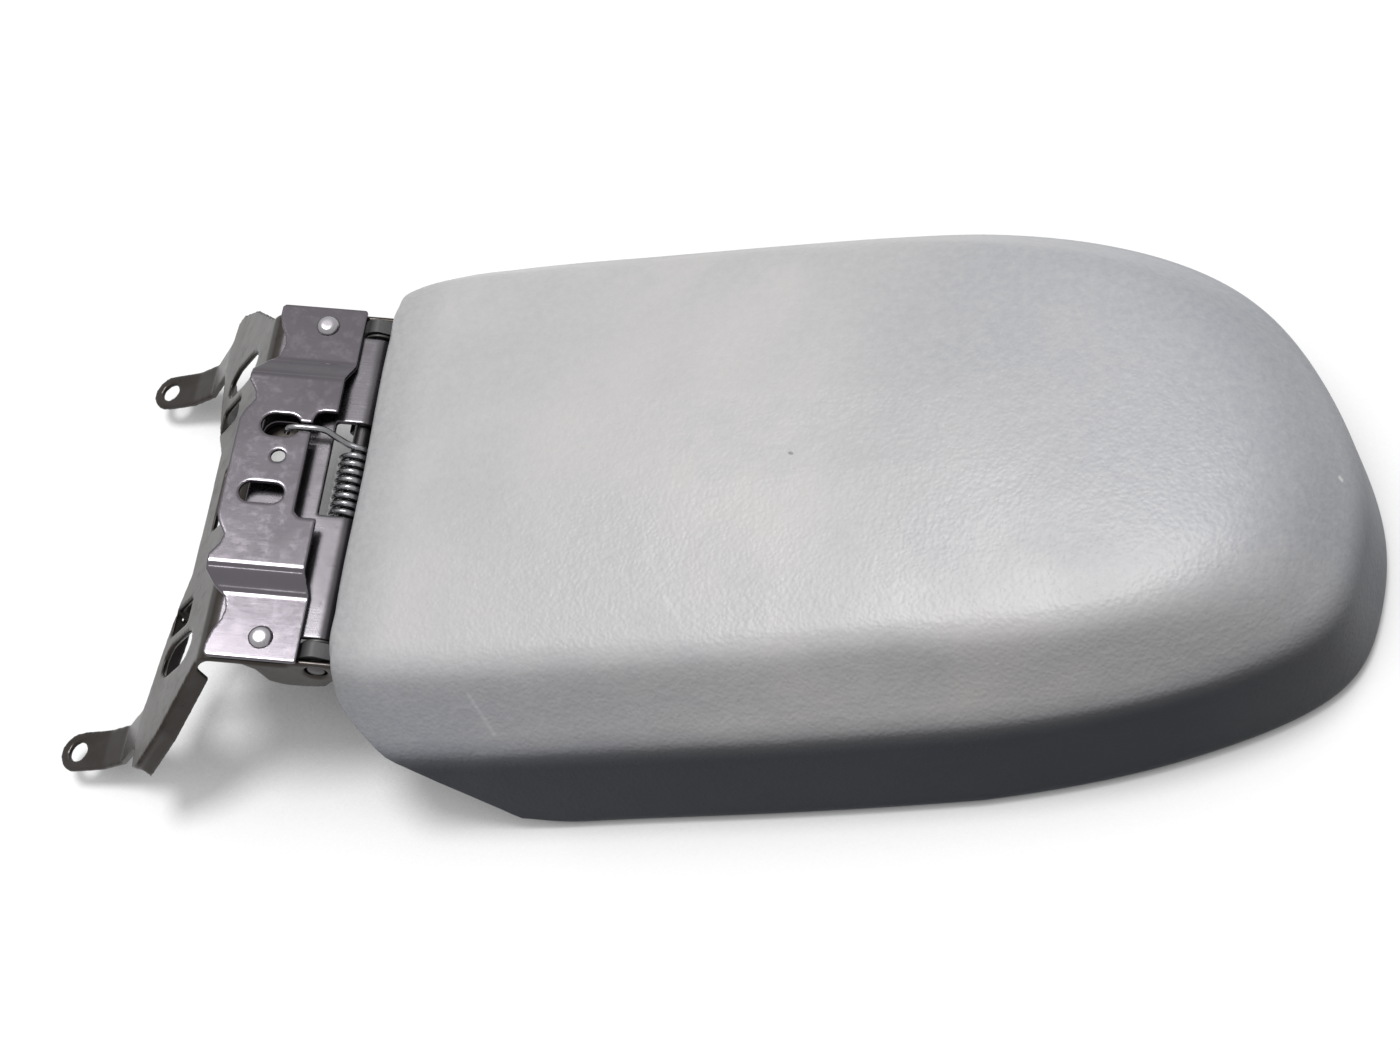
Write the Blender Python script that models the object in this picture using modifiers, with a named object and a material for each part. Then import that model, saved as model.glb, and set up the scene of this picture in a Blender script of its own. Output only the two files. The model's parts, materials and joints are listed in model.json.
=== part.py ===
"""Padded armrest lid of a car's centre console, with its stamped steel hinge, in metres with +Z up.

The pad lies on its flat underside with its front towards +X, and the hinge is at the rear (-X).
Positive rotation of the lid about the hinge pin (+Y) swings the pad's front down, which closes it.
"""

import math

import bmesh
import bpy
from mathutils import Matrix, Vector

for leftover in list(bpy.data.objects):
    bpy.data.objects.remove(leftover, do_unlink=True)

# The pad's outside
PAD_REAR = -0.0247
PAD_BOTTOM_FRONT = 0.2715
PAD_BOTTOM_HALF = 0.0945
PAD_CREASE_Z = 0.037
PAD_CREASE_FRONT = 0.2650
PAD_CREASE_HALF = 0.0865
PAD_SHOULDER_Z = 0.0570
PAD_SHOULDER_FRONT = 0.2470
PAD_SHOULDER_HALF = 0.0695
PAD_TOP_Z = 0.0622
PAD_LIP_Z = 0.0490
RELIEF_KNEE_X = 0.0220
RELIEF_KNEE_Z = 0.0050
RELIEF_END_X = 0.0450

# The moulded base inside the pad, and its cover
CLEAR = 0.0003
RUNNING_CLEAR = 0.00008
BASE_REAR = -0.0110
BASE_FRONT = 0.2470
BASE_HALF = 0.0705
BASE_TOP_Z = 0.0380
BASE_WALL = 0.0025
LINER_Z = 0.0030
LINER_THICK = 0.0025
LINER_REAR = 0.0490
BOSS_RADIUS = 0.0042
BOSS_X = (0.1000, 0.1800)
BOSS_Y = BASE_HALF - 0.0245
SCREW_RADIUS = 0.0015
SCREW_HEAD_RADIUS = 0.0036
SCREW_HEAD_HIGH = 0.0020
SCREW_SOCKET_RADIUS = 0.0015
SCREW_BITE = 0.0110
BUMPER_X = (0.0800, 0.1500)
BUMPER_Y = BASE_HALF - 0.0155
BUMPER_RADIUS = 0.0050
BUMPER_STEM = 0.0021

# The hinge pin and what turns on it
PIN_X = -0.03326
PIN_Z = 0.04574
PIN_RADIUS = 0.0030
KNUCKLE_HALF = 0.0535
EAR_INNER_Y = 0.0550
EAR_THICK = 0.0050
EAR_RADIUS = 0.0069
CHEEK_RADIUS = 0.0075
CHEEK_THICK = 0.0020
BUSH_WALL = 0.0012
BUSH_FLANGE_RADIUS = 0.0060
BUSH_FLANGE_THICK = 0.0008
RAIL_START = 0.0030
RAIL_THICK = 0.0052
RAIL_REACH = 0.0340

# The steel sheets, in the hinge's own tilted frame with the pin at its origin
HINGE_TILT = math.radians(17.1)
PLATE_THICK = 0.0016
LEAF_THICK = 0.0020
BRACKET_THICK = 0.0020
PLATE_HALF = 0.0627
PLATE_REAR = -0.0325
PLATE_FRONT = -0.0047
PLATE_MID_REAR = -0.0368
PLATE_MID_FRONT = -0.0066
PLATE_RISE = 0.0037
JOGGLE_TOP_Y = 0.0345
JOGGLE_FOOT_Y = 0.0405
NOTCH_NEAR_Y = -0.0164
NOTCH_FAR_Y = 0.0215
NOTCH_DEEP_X = -0.0137
KEYHOLE_X = -0.0235
KEYHOLE_Y = 0.0154
KEYHOLE_LONG = 0.0125
KEYHOLE_WIDE = 0.0080
KEYHOLE_SLOT = 0.0030
OBLONG_X = -0.0249
OBLONG_Y = -0.0088
OBLONG_LONG = 0.0138
OBLONG_WIDE = 0.0072
SIGHT_HOLE_X = -0.0223
SIGHT_HOLE_Y = 0.0043
SIGHT_HOLE_RADIUS = 0.0022
KNUCKLE_NEAR_Y = -0.0120
LEAF_REAR = -0.0310
LEAF_GAP_X = -0.0078
RIVET_X = -0.0165
RIVET_Y = PLATE_HALF - 0.0073
RIVET_RADIUS = 0.0019
RIVET_HEAD_RADIUS = 0.0037
RIVET_HEAD_HIGH = 0.0014

# The mounting bracket, in plan and in side view
FLANGE_FRONT = -0.0085
RIDGE_X = -0.0345
FACE_FOOT = (-0.1040, 0.0254)
ARM_BEND = (-0.1155, 0.0140)
ARM_KNEE = (-0.1250, 0.0103)
ARM_END = (-0.1436, 0.0085)
ARM_Y = 0.0692
ARM_HALF = 0.0068
EYELET_X = -0.1362
EYELET_RADIUS = 0.0033
RIM_THICK = 0.0022
RIM_DEEP = 0.0075
FACE_HOLE_X = -0.0855
FACE_HOLE_Y = 0.0512
FACE_HOLE_LONG = 0.0190
FACE_HOLE_WIDE = 0.0110
SLOT_X = -0.0885
SLOT_Y = 0.0372
SLOT_LONG = 0.0115
SLOT_WIDE = 0.0090
WINDOW_REAR = -0.0800
WINDOW_FRONT = -0.0700
WINDOW_HALF = 0.0110

# The torsion spring on the pin
COIL_RADIUS = 0.0052
COIL_WIRE = 0.00105
COIL_TURNS = 7.5
COIL_PITCH = 0.00286
COIL_START_Y = -0.0105

# The catch under the pad's front edge
LATCH_X = 0.2260
LATCH_Y = -0.0180
LATCH_Z = 0.0160
LATCH_HALF = 0.0120
LATCH_PIN_RADIUS = 0.0015
LATCH_EYE_RADIUS = 0.0042
LUG_Y = 0.0150
LUG_THICK = 0.0040
LATCH_SPRING_RADIUS = 0.0026
LATCH_SPRING_WIRE = 0.0004
LATCH_SPRING_AHEAD = 0.0090
WINDOW_X = (0.2080, 0.2365)
LATCH_WINDOW_HALF = 0.0200

SHIFT_X = -0.0642

part_collection = bpy.data.collections.new("armrest_lid")
bpy.context.scene.collection.children.link(part_collection)


def material(name, color, metallic, roughness):
    """Returns a Principled material."""
    made = bpy.data.materials.new(name)
    made.use_nodes = True
    shader = made.node_tree.nodes["Principled BSDF"]
    shader.inputs["Base Color"].default_value = (*color, 1.0)
    shader.inputs["Metallic"].default_value = metallic
    shader.inputs["Roughness"].default_value = roughness
    made.diffuse_color = (*color, 1.0)
    return made


def add(name, mesh):
    """Links a new object that holds the mesh."""
    made = bpy.data.objects.new(name, mesh)
    part_collection.objects.link(made)
    return made


def baked(obj):
    """Replaces an object's mesh with its evaluated mesh and clears its modifiers."""
    depsgraph = bpy.context.evaluated_depsgraph_get()
    depsgraph.update()
    mesh = bpy.data.meshes.new_from_object(obj.evaluated_get(depsgraph))
    obj.modifiers.clear()
    obj.data = mesh
    return obj


def mesh_from_curve(name, curve, placed):
    """Turns a curve into a welded mesh object at the given matrix."""
    holder = bpy.data.objects.new(name + "_path", curve)
    part_collection.objects.link(holder)
    depsgraph = bpy.context.evaluated_depsgraph_get()
    depsgraph.update()
    mesh = bpy.data.meshes.new_from_object(holder.evaluated_get(depsgraph))
    bpy.data.objects.remove(holder, do_unlink=True)
    welded = bmesh.new()
    welded.from_mesh(mesh)
    bmesh.ops.remove_doubles(welded, verts=welded.verts, dist=0.000001)
    bmesh.ops.recalc_face_normals(welded, faces=welded.faces)
    welded.to_mesh(mesh)
    welded.free()
    mesh.transform(placed)
    mesh.name = name
    return add(name, mesh)


def plan_slab(name, outline, low, high, smooth=False):
    """A closed plan outline extruded upwards from one height to another."""
    curve = bpy.data.curves.new(name, "CURVE")
    curve.dimensions = "2D"
    curve.fill_mode = "BOTH"
    curve.extrude = (high - low) / 2
    if smooth:
        spline = curve.splines.new("BEZIER")
        spline.bezier_points.add(len(outline) - 1)
        for point, (x, y) in zip(spline.bezier_points, outline):
            point.co = (x, y, 0)
            point.handle_left_type = point.handle_right_type = "AUTO"
        spline.resolution_u = 3
    else:
        spline = curve.splines.new("POLY")
        spline.points.add(len(outline) - 1)
        for point, (x, y) in zip(spline.points, outline):
            point.co = (x, y, 0, 1)
    spline.use_cyclic_u = True
    return mesh_from_curve(name, curve, Matrix.Translation((0, 0, (high + low) / 2)))


def side_slab(name, outline, near, far):
    """A closed side-view outline of (x, z) points extruded from one y to another."""
    made = plan_slab(name, outline, -far, -near)
    made.data.transform(Matrix.Rotation(math.radians(90), 4, "X"))
    return made


def rod(name, radius, near, far, x, z, sides=32):
    """A round bar along Y."""
    welded = bmesh.new()
    bmesh.ops.create_cone(welded, cap_ends=True, segments=sides, radius1=radius, radius2=radius,
                          depth=far - near)
    mesh = bpy.data.meshes.new(name)
    welded.to_mesh(mesh)
    welded.free()
    mesh.transform(Matrix.Translation((x, (near + far) / 2, z)) @ Matrix.Rotation(math.radians(90), 4, "X"))
    return add(name, mesh)


def post(name, radius, low, high, x, y, sides=20):
    """An upright round bar."""
    welded = bmesh.new()
    bmesh.ops.create_cone(welded, cap_ends=True, segments=sides, radius1=radius, radius2=radius,
                          depth=high - low)
    mesh = bpy.data.meshes.new(name)
    welded.to_mesh(mesh)
    welded.free()
    mesh.transform(Matrix.Translation((x, y, (low + high) / 2)))
    return add(name, mesh)


def turned(name, profile, placed, sides=32):
    """A profile of (radius, height) points, down the outer side, spun about Z with Screw."""
    mesh = bpy.data.meshes.new(name)
    mesh.from_pydata([(r, 0, h) for r, h in profile],
                     [(i, i + 1) for i in range(len(profile) - 1)], [])
    made = add(name, mesh)
    spin = made.modifiers.new("spin", "SCREW")
    spin.steps = spin.render_steps = sides
    spin.use_merge_vertices = True
    spin.merge_threshold = 0.00001
    spin.use_smooth_shade = True
    baked(made)
    welded = bmesh.new()
    welded.from_mesh(made.data)
    bmesh.ops.remove_doubles(welded, verts=welded.verts, dist=0.000001)
    bmesh.ops.recalc_face_normals(welded, faces=welded.faces)
    welded.to_mesh(made.data)
    welded.free()
    made.data.transform(placed)
    return made


def sheet(name, path, near, far, thick, along="Y"):
    """A bent sheet: an open side-view path carried along Y (or along X) and thickened with Solidify.

    The path is the sheet's upper face, and the thickness goes below it.
    """
    verts, faces = [], []
    for a, z in path:
        if along == "Y":
            verts += [(a, near, z), (a, far, z)]
        else:
            verts += [(near, a, z), (far, a, z)]
    for i in range(len(path) - 1):
        faces.append((2 * i, 2 * i + 1, 2 * i + 3, 2 * i + 2))
    mesh = bpy.data.meshes.new(name)
    mesh.from_pydata(verts, [], faces)
    made = add(name, mesh)
    up = sum((f.normal.z * f.area for f in mesh.polygons))
    if up < 0:
        mesh.flip_normals()
    solid = made.modifiers.new("thickness", "SOLIDIFY")
    solid.thickness = thick
    solid.offset = -1
    solid.use_even_offset = True
    return baked(made)


def boolean(target, other, operation):
    """Joins, cuts or intersects with an exact Boolean, applies it and removes the other body."""
    change = target.modifiers.new(operation.lower(), "BOOLEAN")
    change.operation = operation
    change.object = other
    change.solver = "EXACT"
    baked(target)
    bpy.data.objects.remove(other, do_unlink=True)
    return target


def cut(target, other):
    return boolean(target, other, "DIFFERENCE")


def join(target, other):
    return boolean(target, other, "UNION")


def keep(target, other):
    return boolean(target, other, "INTERSECT")


def ring(center_x, center_y, radius, start, stop, steps):
    """Points of an arc in a plane, angles in degrees."""
    points = []
    for i in range(steps + 1):
        a = math.radians(start + (stop - start) * i / steps)
        points.append((center_x + radius * math.cos(a), center_y + radius * math.sin(a)))
    return points


def oblong(center_x, center_y, length, width):
    """A plan outline with round ends, its long side along X."""
    r = width / 2
    reach = (length - width) / 2
    return (ring(center_x + reach, center_y, r, -90, 90, 8)
            + ring(center_x - reach, center_y, r, 90, 270, 8))


def tilted(obj):
    """Turns a piece made in the hinge's own frame to its tilt and moves it to the pin."""
    obj.data.transform(Matrix.Translation((PIN_X, 0, PIN_Z)) @ Matrix.Rotation(HINGE_TILT, 4, "Y"))
    return obj


def finish(obj, mat, smooth=0.6):
    """Gives a piece its material, clean normals and shading by angle."""
    welded = bmesh.new()
    welded.from_mesh(obj.data)
    bmesh.ops.remove_doubles(welded, verts=welded.verts, dist=0.000002)
    bmesh.ops.dissolve_degenerate(welded, dist=0.000001, edges=welded.edges)
    bmesh.ops.recalc_face_normals(welded, faces=welded.faces)
    for face in welded.faces:
        face.smooth = True
    for edge in welded.edges:
        if len(edge.link_faces) == 2 and edge.calc_face_angle(0) > smooth:
            edge.smooth = False
    welded.to_mesh(obj.data)
    welded.free()
    obj.data.materials.clear()
    obj.data.materials.append(mat)
    return obj


# Colours and surfaces, one material for each piece
leather = material("grey_leather", (0.50, 0.51, 0.51), 0.0, 0.55)
black_plastic = material("black_plastic", (0.020, 0.020, 0.022), 0.0, 0.50)
liner_plastic = material("liner_plastic", (0.060, 0.062, 0.066), 0.0, 0.60)
plated_sheet = material("plated_sheet", (0.35, 0.33, 0.36), 0.9, 0.25)

# The pad's plan outline, as shares of its length and half width: rear corner, side, front corner.
# The near front corner is squarer than the far one, so the tip lies off the middle.
REAR_CORNER = ((0.0, 0.70), (0.003, 0.88), (0.014, 0.955), (0.045, 0.990), (0.120, 1.000), (0.300, 0.990),
               (0.440, 0.979))
NEAR_FRONT = ((0.573, 0.960), (0.667, 0.940), (0.791, 0.883), (0.882, 0.794), (0.943, 0.713), (0.971, 0.625),
              (0.986, 0.466))
FAR_FRONT = ((0.550, 0.965), (0.650, 0.938), (0.750, 0.867), (0.825, 0.769), (0.8885, 0.640), (0.934, 0.470),
             (0.966, 0.262), (0.989, 0.050))
FRONT_TIP = (1.0, -0.250)


def pad_outline():
    """The whole plan outline in shares, once round."""
    near = [(u, -v) for u, v in REAR_CORNER + NEAR_FRONT]
    far = list(reversed(REAR_CORNER + FAR_FRONT))
    return [(0.0, 0.0)] + near + [FRONT_TIP] + far


def plan_at(rear, front, half):
    return [(rear + u * (front - rear), v * half) for u, v in pad_outline()]


def spot_on_ring(share, rear, front, half, ease, z):
    """A ring's point for a share of the outline; ease draws the near front corner in."""
    u, v = share
    if v < 0:
        v *= 1 - ease * max(0.0, u - 0.62)
    return (rear + u * (front - rear), v * half, z)


def padding():
    """The foam pad and its moulded skin, as one closed solid with the base's space cut out."""
    block = plan_slab("armrest_pad", pad_outline(), 0.0, 1.0, smooth=True)
    welded = bmesh.new()
    welded.from_mesh(block.data)
    lid = [f for f in welded.faces if f.normal.z > 0.9]
    top_edges = {e for f in lid for e in f.edges if len([g for g in e.link_faces if g in lid]) == 1}
    loop_verts = {v for e in top_edges for v in e.verts}
    floor_verts = [v for v in welded.verts if v not in loop_verts]
    bmesh.ops.delete(welded, geom=lid, context="FACES")
    welded.verts.ensure_lookup_table()
    rings = (
        (PAD_REAR, PAD_BOTTOM_FRONT - 0.0015, PAD_BOTTOM_HALF - 0.0015, 0.15, 0.0000),
        (PAD_REAR, PAD_BOTTOM_FRONT, PAD_BOTTOM_HALF, 0.15, 0.0020),
        (PAD_REAR, PAD_CREASE_FRONT + 0.0004, PAD_CREASE_HALF + 0.0004, 0.0, PAD_CREASE_Z - 0.0015),
        (PAD_REAR, PAD_CREASE_FRONT - 0.0012, PAD_CREASE_HALF - 0.0012, 0.0, PAD_CREASE_Z + 0.0015),
        (PAD_REAR, PAD_SHOULDER_FRONT + 0.0030, PAD_SHOULDER_HALF + 0.0022, -0.22, PAD_SHOULDER_Z - 0.0030),
        (PAD_REAR + 0.0005, PAD_SHOULDER_FRONT - 0.0012, PAD_SHOULDER_HALF - 0.0014, -0.25,
         PAD_SHOULDER_Z - 0.0005),
        (PAD_REAR + 0.0020, PAD_SHOULDER_FRONT - 0.0075, PAD_SHOULDER_HALF - 0.0070, -0.25,
         PAD_SHOULDER_Z + 0.0014),
        (PAD_REAR + 0.0055, PAD_SHOULDER_FRONT - 0.0200, PAD_SHOULDER_HALF - 0.0180, -0.25,
         PAD_SHOULDER_Z + 0.0030),
        (PAD_REAR + 0.0140, PAD_SHOULDER_FRONT - 0.0450, PAD_SHOULDER_HALF - 0.0350, -0.25,
         PAD_TOP_Z - 0.0010),
        (PAD_REAR + 0.0450, PAD_SHOULDER_FRONT - 0.0900, PAD_SHOULDER_HALF - 0.0550, -0.25, PAD_TOP_Z),
    )
    shares = {v: (v.co.x, v.co.y) for v in welded.verts}
    edge_loop = list(top_edges)
    for v in floor_verts:
        v.co = spot_on_ring(shares[v], *rings[0])
    for v in loop_verts:
        v.co = spot_on_ring(shares[v], *rings[1])
    for ring_sizes in rings[2:]:
        grown = bmesh.ops.extrude_edge_only(welded, edges=edge_loop)
        new_verts = [g for g in grown["geom"] if isinstance(g, bmesh.types.BMVert)]
        new_edges = [g for g in grown["geom"] if isinstance(g, bmesh.types.BMEdge)
                     and all(v in new_verts for v in g.verts)]
        fresh = {}
        for v in new_verts:
            partner = [e.other_vert(v) for e in v.link_edges if e.other_vert(v) in shares][0]
            fresh[v] = shares[partner]
            v.co = spot_on_ring(fresh[v], *ring_sizes)
        shares.update(fresh)
        edge_loop = new_edges
    bmesh.ops.contextual_create(welded, geom=edge_loop)
    bmesh.ops.recalc_face_normals(welded, faces=welded.faces)
    welded.to_mesh(block.data)
    welded.free()
    cut(block, relief_wedge("relief", 0.0))
    space = plan_slab("space", plan_at(BASE_REAR - CLEAR, BASE_FRONT + CLEAR, BASE_HALF + CLEAR),
                      -0.0050, BASE_TOP_Z + CLEAR)
    cut(block, space)
    return finish(block, leather, 0.5)


def relief_point(along, out):
    """A side-view point: along the relief from the pad's lip, and out from it towards the hinge."""
    run = Vector((RELIEF_KNEE_X - PAD_REAR, RELIEF_KNEE_Z - PAD_LIP_Z)).normalized()
    side = Vector((run.y, -run.x))
    spot = Vector((PAD_REAR, PAD_LIP_Z)) + run * along + side * out
    return (spot.x, spot.y)


def pin_above_relief():
    """The distance from the hinge pin's axis to the plane of the relief."""
    run = Vector((RELIEF_KNEE_X - PAD_REAR, RELIEF_KNEE_Z - PAD_LIP_Z)).normalized()
    return abs((PIN_X - PAD_REAR) * run.y - (PIN_Z - PAD_LIP_Z) * run.x)


def relief_wedge(name, grow):
    """What the rear relief takes away, grown into the lid by a wall thickness."""
    top = relief_point(-0.040, -grow)
    knee = (RELIEF_KNEE_X + 0.6 * grow, RELIEF_KNEE_Z + 1.1 * grow)
    beyond = (knee[0] + 1.6 * (RELIEF_END_X - RELIEF_KNEE_X), knee[1] - 1.6 * RELIEF_KNEE_Z)
    return side_slab(name, (top, knee, beyond, (-0.090, beyond[1] - 0.002), (-0.090, top[1])), -0.12, 0.12)


def moulded_base():
    """The base: a tray that is open below, with screw bosses, lugs for the catch, and the hinge ears."""
    tray = plan_slab("lid_base", plan_at(BASE_REAR, BASE_FRONT, BASE_HALF), LINER_Z - 0.0008, BASE_TOP_Z)
    cut(tray, relief_wedge("base_relief", 0.0))
    inside = plan_at(BASE_REAR + BASE_WALL, BASE_FRONT - BASE_WALL, BASE_HALF - BASE_WALL)
    hollow = plan_slab("hollow", inside, -0.0100, BASE_TOP_Z - BASE_WALL)
    cut(hollow, relief_wedge("hollow_relief", BASE_WALL))
    cut(tray, hollow)
    rail_end = EAR_INNER_Y + EAR_THICK / 2
    rail = side_slab("rail", (relief_point(RAIL_START, 0.0004), relief_point(RAIL_START, 0.0004 + RAIL_THICK),
                              relief_point(RAIL_REACH, 0.0004 + RAIL_THICK),
                              relief_point(RAIL_REACH + 0.008, -0.0012), relief_point(0.0290, -0.0012),
                              relief_point(0.0215, 0.0004)), -rail_end, rail_end)
    join(tray, rail)
    groove_floor = pin_above_relief() - COIL_RADIUS - COIL_WIRE - CLEAR
    groove_half = COIL_WIRE + CLEAR
    cut(tray, side_slab("leg_groove", (relief_point(0.0, groove_floor), relief_point(0.0160, groove_floor),
                                       relief_point(0.0160, 0.0120), relief_point(0.0, 0.0120)),
                        COIL_START_Y - groove_half, COIL_START_Y + groove_half))
    for side in (-1, 1):
        ear_outline = (ring(PIN_X, PIN_Z, EAR_RADIUS, 75, 285, 14)
                       + [relief_point(RAIL_REACH - 0.004, 0.0050), relief_point(RAIL_REACH, 0.0020),
                          relief_point(0.0040, 0.0006)])
        inner, outer = sorted((side * EAR_INNER_Y, side * (EAR_INNER_Y + EAR_THICK)))
        join(tray, side_slab("ear", ear_outline, inner, outer))
        ear_bore = PIN_RADIUS + RUNNING_CLEAR + BUSH_WALL + CLEAR
        cut(tray, rod("ear_bore", ear_bore, inner - 0.001, outer + 0.001, PIN_X, PIN_Z))
    for x in BOSS_X:
        for y in (-BOSS_Y, BOSS_Y):
            join(tray, post("boss", BOSS_RADIUS, LINER_Z + LINER_THICK + CLEAR, BASE_TOP_Z - 0.001, x, y))
            cut(tray, post("pilot", SCREW_RADIUS + CLEAR, LINER_Z, LINER_Z + LINER_THICK + SCREW_BITE, x, y))
    for side in (-1, 1):
        inner, outer = sorted((LATCH_Y + side * LUG_Y, LATCH_Y + side * (LUG_Y + LUG_THICK)))
        lug = ring(LATCH_X, LATCH_Z, 0.0050, 180, 360, 10) + [(LATCH_X + 0.005, BASE_TOP_Z - 0.001),
                                                             (LATCH_X - 0.005, BASE_TOP_Z - 0.001)]
        join(tray, side_slab("lug", lug, inner, outer))
        cut(tray, rod("lug_bore", LATCH_PIN_RADIUS + CLEAR, inner - 0.001, outer + 0.001,
                      LATCH_X, LATCH_Z, 22))
    return finish(tray, black_plastic, 0.5)


def inner_cover():
    """The moulded cover that closes the underside, with the catch's window."""
    inside = BASE_WALL + CLEAR
    cover = plan_slab("lid_liner", plan_at(BASE_REAR + inside, BASE_FRONT - inside, BASE_HALF - inside),
                      LINER_Z, LINER_Z + LINER_THICK)
    behind = ((-0.05, -0.01), (LINER_REAR, -0.01), (LINER_REAR, 0.02), (-0.05, 0.02))
    cut(cover, side_slab("cover_rear", behind, -0.12, 0.12))
    panel = plan_slab("panel", ((0.080, -0.036), (0.200, -0.036), (0.200, 0.036), (0.080, 0.036)),
                      LINER_Z - 0.001, LINER_Z + 0.0008)
    cut(cover, panel)
    near, far = LATCH_Y - LATCH_WINDOW_HALF, LATCH_Y + LATCH_WINDOW_HALF
    rear, front = WINDOW_X
    window = plan_slab("window", ((rear, near), (front, near), (front, far), (rear, far)), 0.0, 0.010)
    cut(cover, window)
    for x in BOSS_X:
        for y in (-BOSS_Y, BOSS_Y):
            cut(cover, post("clear_hole", SCREW_RADIUS + CLEAR, 0.0, 0.010, x, y))
    for x in BUMPER_X:
        for y in (-BUMPER_Y, BUMPER_Y):
            cut(cover, post("stem_hole", BUMPER_STEM + CLEAR, 0.0, 0.010, x, y))
    return finish(cover, liner_plastic, 0.5)


def cover_screw(name, x, y):
    """A pan-head screw that goes up through the cover into a boss."""
    low = LINER_Z - CLEAR
    tip = LINER_Z + LINER_THICK + SCREW_BITE - 0.0012
    profile = [(0.0, tip), (0.0006, tip - 0.0004), (SCREW_RADIUS, tip - 0.0018)]
    profile += [(SCREW_RADIUS, low), (SCREW_HEAD_RADIUS, low), (SCREW_HEAD_RADIUS, low - 0.0008),
                (SCREW_HEAD_RADIUS - 0.0009, low - SCREW_HEAD_HIGH), (0.0, low - SCREW_HEAD_HIGH)]
    body = turned(name, profile, Matrix.Translation((x, y, 0)), 16)
    face = low - SCREW_HEAD_HIGH
    cut(body, post("socket", SCREW_SOCKET_RADIUS, face - 0.0010, face + 0.0010, x, y, 6))
    return finish(body, material(name + "_steel", (0.25, 0.25, 0.26), 0.9, 0.35))


def rubber_bumper(name, x, y):
    """A push-in rubber stop."""
    low = LINER_Z - CLEAR
    profile = [(0.0, LINER_Z + 0.0060), (BUMPER_STEM - 0.0006, LINER_Z + 0.0060),
               (BUMPER_STEM, LINER_Z + 0.0050), (BUMPER_STEM, low), (BUMPER_RADIUS, low),
               (BUMPER_RADIUS, low - 0.0012), (BUMPER_RADIUS - 0.0008, low - 0.0022), (0.0, low - 0.0025)]
    return finish(turned(name, profile, Matrix.Translation((x, y, 0)), 16),
                  material(name + "_rubber", (0.015, 0.015, 0.015), 0.0, 0.80))


def top_plate():
    """The joggled plate on top of the hinge, with the spring's notch and keyhole."""
    high = PLATE_TOP + PLATE_RISE
    path = [(-PLATE_HALF, PLATE_TOP), (-JOGGLE_FOOT_Y - 0.0006, PLATE_TOP),
            (-JOGGLE_FOOT_Y + 0.0006, PLATE_TOP + 0.0005), (-JOGGLE_TOP_Y - 0.0006, high - 0.0005),
            (-JOGGLE_TOP_Y + 0.0006, high)]
    path += [(-y, z) for y, z in reversed(path)]
    plate = sheet("top_plate", path, PLATE_MID_REAR - 0.004, PLATE_FRONT + 0.002, PLATE_THICK, along="X")
    half_edge = [(PLATE_MID_FRONT, 0.0), (PLATE_MID_FRONT, JOGGLE_TOP_Y), (PLATE_FRONT, JOGGLE_FOOT_Y),
                 (PLATE_FRONT, PLATE_HALF - 0.0008), (PLATE_FRONT - 0.0008, PLATE_HALF),
                 (PLATE_REAR + 0.0012, PLATE_HALF), (PLATE_REAR, PLATE_HALF - 0.0012),
                 (PLATE_REAR, PLATE_HALF - 0.0042),
                 (PLATE_REAR + 0.0010, PLATE_HALF - 0.0082), (PLATE_REAR + 0.0030, PLATE_HALF - 0.0122),
                 (PLATE_REAR + 0.0036, PLATE_HALF - 0.0157), (PLATE_REAR + 0.0026, PLATE_HALF - 0.0197),
                 (PLATE_REAR - 0.0010, JOGGLE_FOOT_Y - 0.0005), (PLATE_MID_REAR, 0.0355),
                 (PLATE_MID_REAR + 0.0002, 0.0310), (PLATE_MID_REAR + 0.0028, 0.0270),
                 (PLATE_MID_REAR + 0.0034, 0.0240), (PLATE_MID_REAR + 0.0010, 0.0200),
                  (PLATE_MID_REAR, 0.0170)]
    outline = half_edge + [(x, -y) for x, y in reversed(half_edge[1:])]
    keep(plate, plan_slab("plate_outline", outline, 0.0, 0.020))
    notch = [(NOTCH_DEEP_X + 0.002, NOTCH_NEAR_Y), (0.010, NOTCH_NEAR_Y), (0.010, NOTCH_FAR_Y),
             (NOTCH_DEEP_X + 0.003, NOTCH_FAR_Y), (NOTCH_DEEP_X + 0.0008, NOTCH_FAR_Y - 0.0008),
             (NOTCH_DEEP_X, NOTCH_FAR_Y - 0.003), (NOTCH_DEEP_X, NOTCH_NEAR_Y + 0.002)]
    cut(plate, plan_slab("notch", notch, 0.0, 0.020))
    cut(plate, plan_slab("keyhole", oblong(KEYHOLE_X, KEYHOLE_Y, KEYHOLE_LONG, KEYHOLE_WIDE), 0.0, 0.020))
    half_slot = KEYHOLE_SLOT / 2
    mouth = NOTCH_DEEP_X + 0.001
    cut(plate, plan_slab("slot", ((KEYHOLE_X, KEYHOLE_Y - half_slot), (mouth, KEYHOLE_Y - half_slot),
                                  (mouth, KEYHOLE_Y + half_slot), (KEYHOLE_X, KEYHOLE_Y + half_slot)),
                                  0.0, 0.020))
    cut(plate, plan_slab("oblong", oblong(OBLONG_X, OBLONG_Y, OBLONG_LONG, OBLONG_WIDE), 0.0, 0.020))
    cut(plate, post("sight_hole", SIGHT_HOLE_RADIUS, 0.0, 0.020, SIGHT_HOLE_X, SIGHT_HOLE_Y))
    for side in (-1, 1):
        cut(plate, post("rivet_hole", RIVET_RADIUS + CLEAR, -0.005, 0.020, RIVET_X, side * RIVET_Y))
    return finish(tilted(plate), plated_sheet, 0.35)


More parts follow.
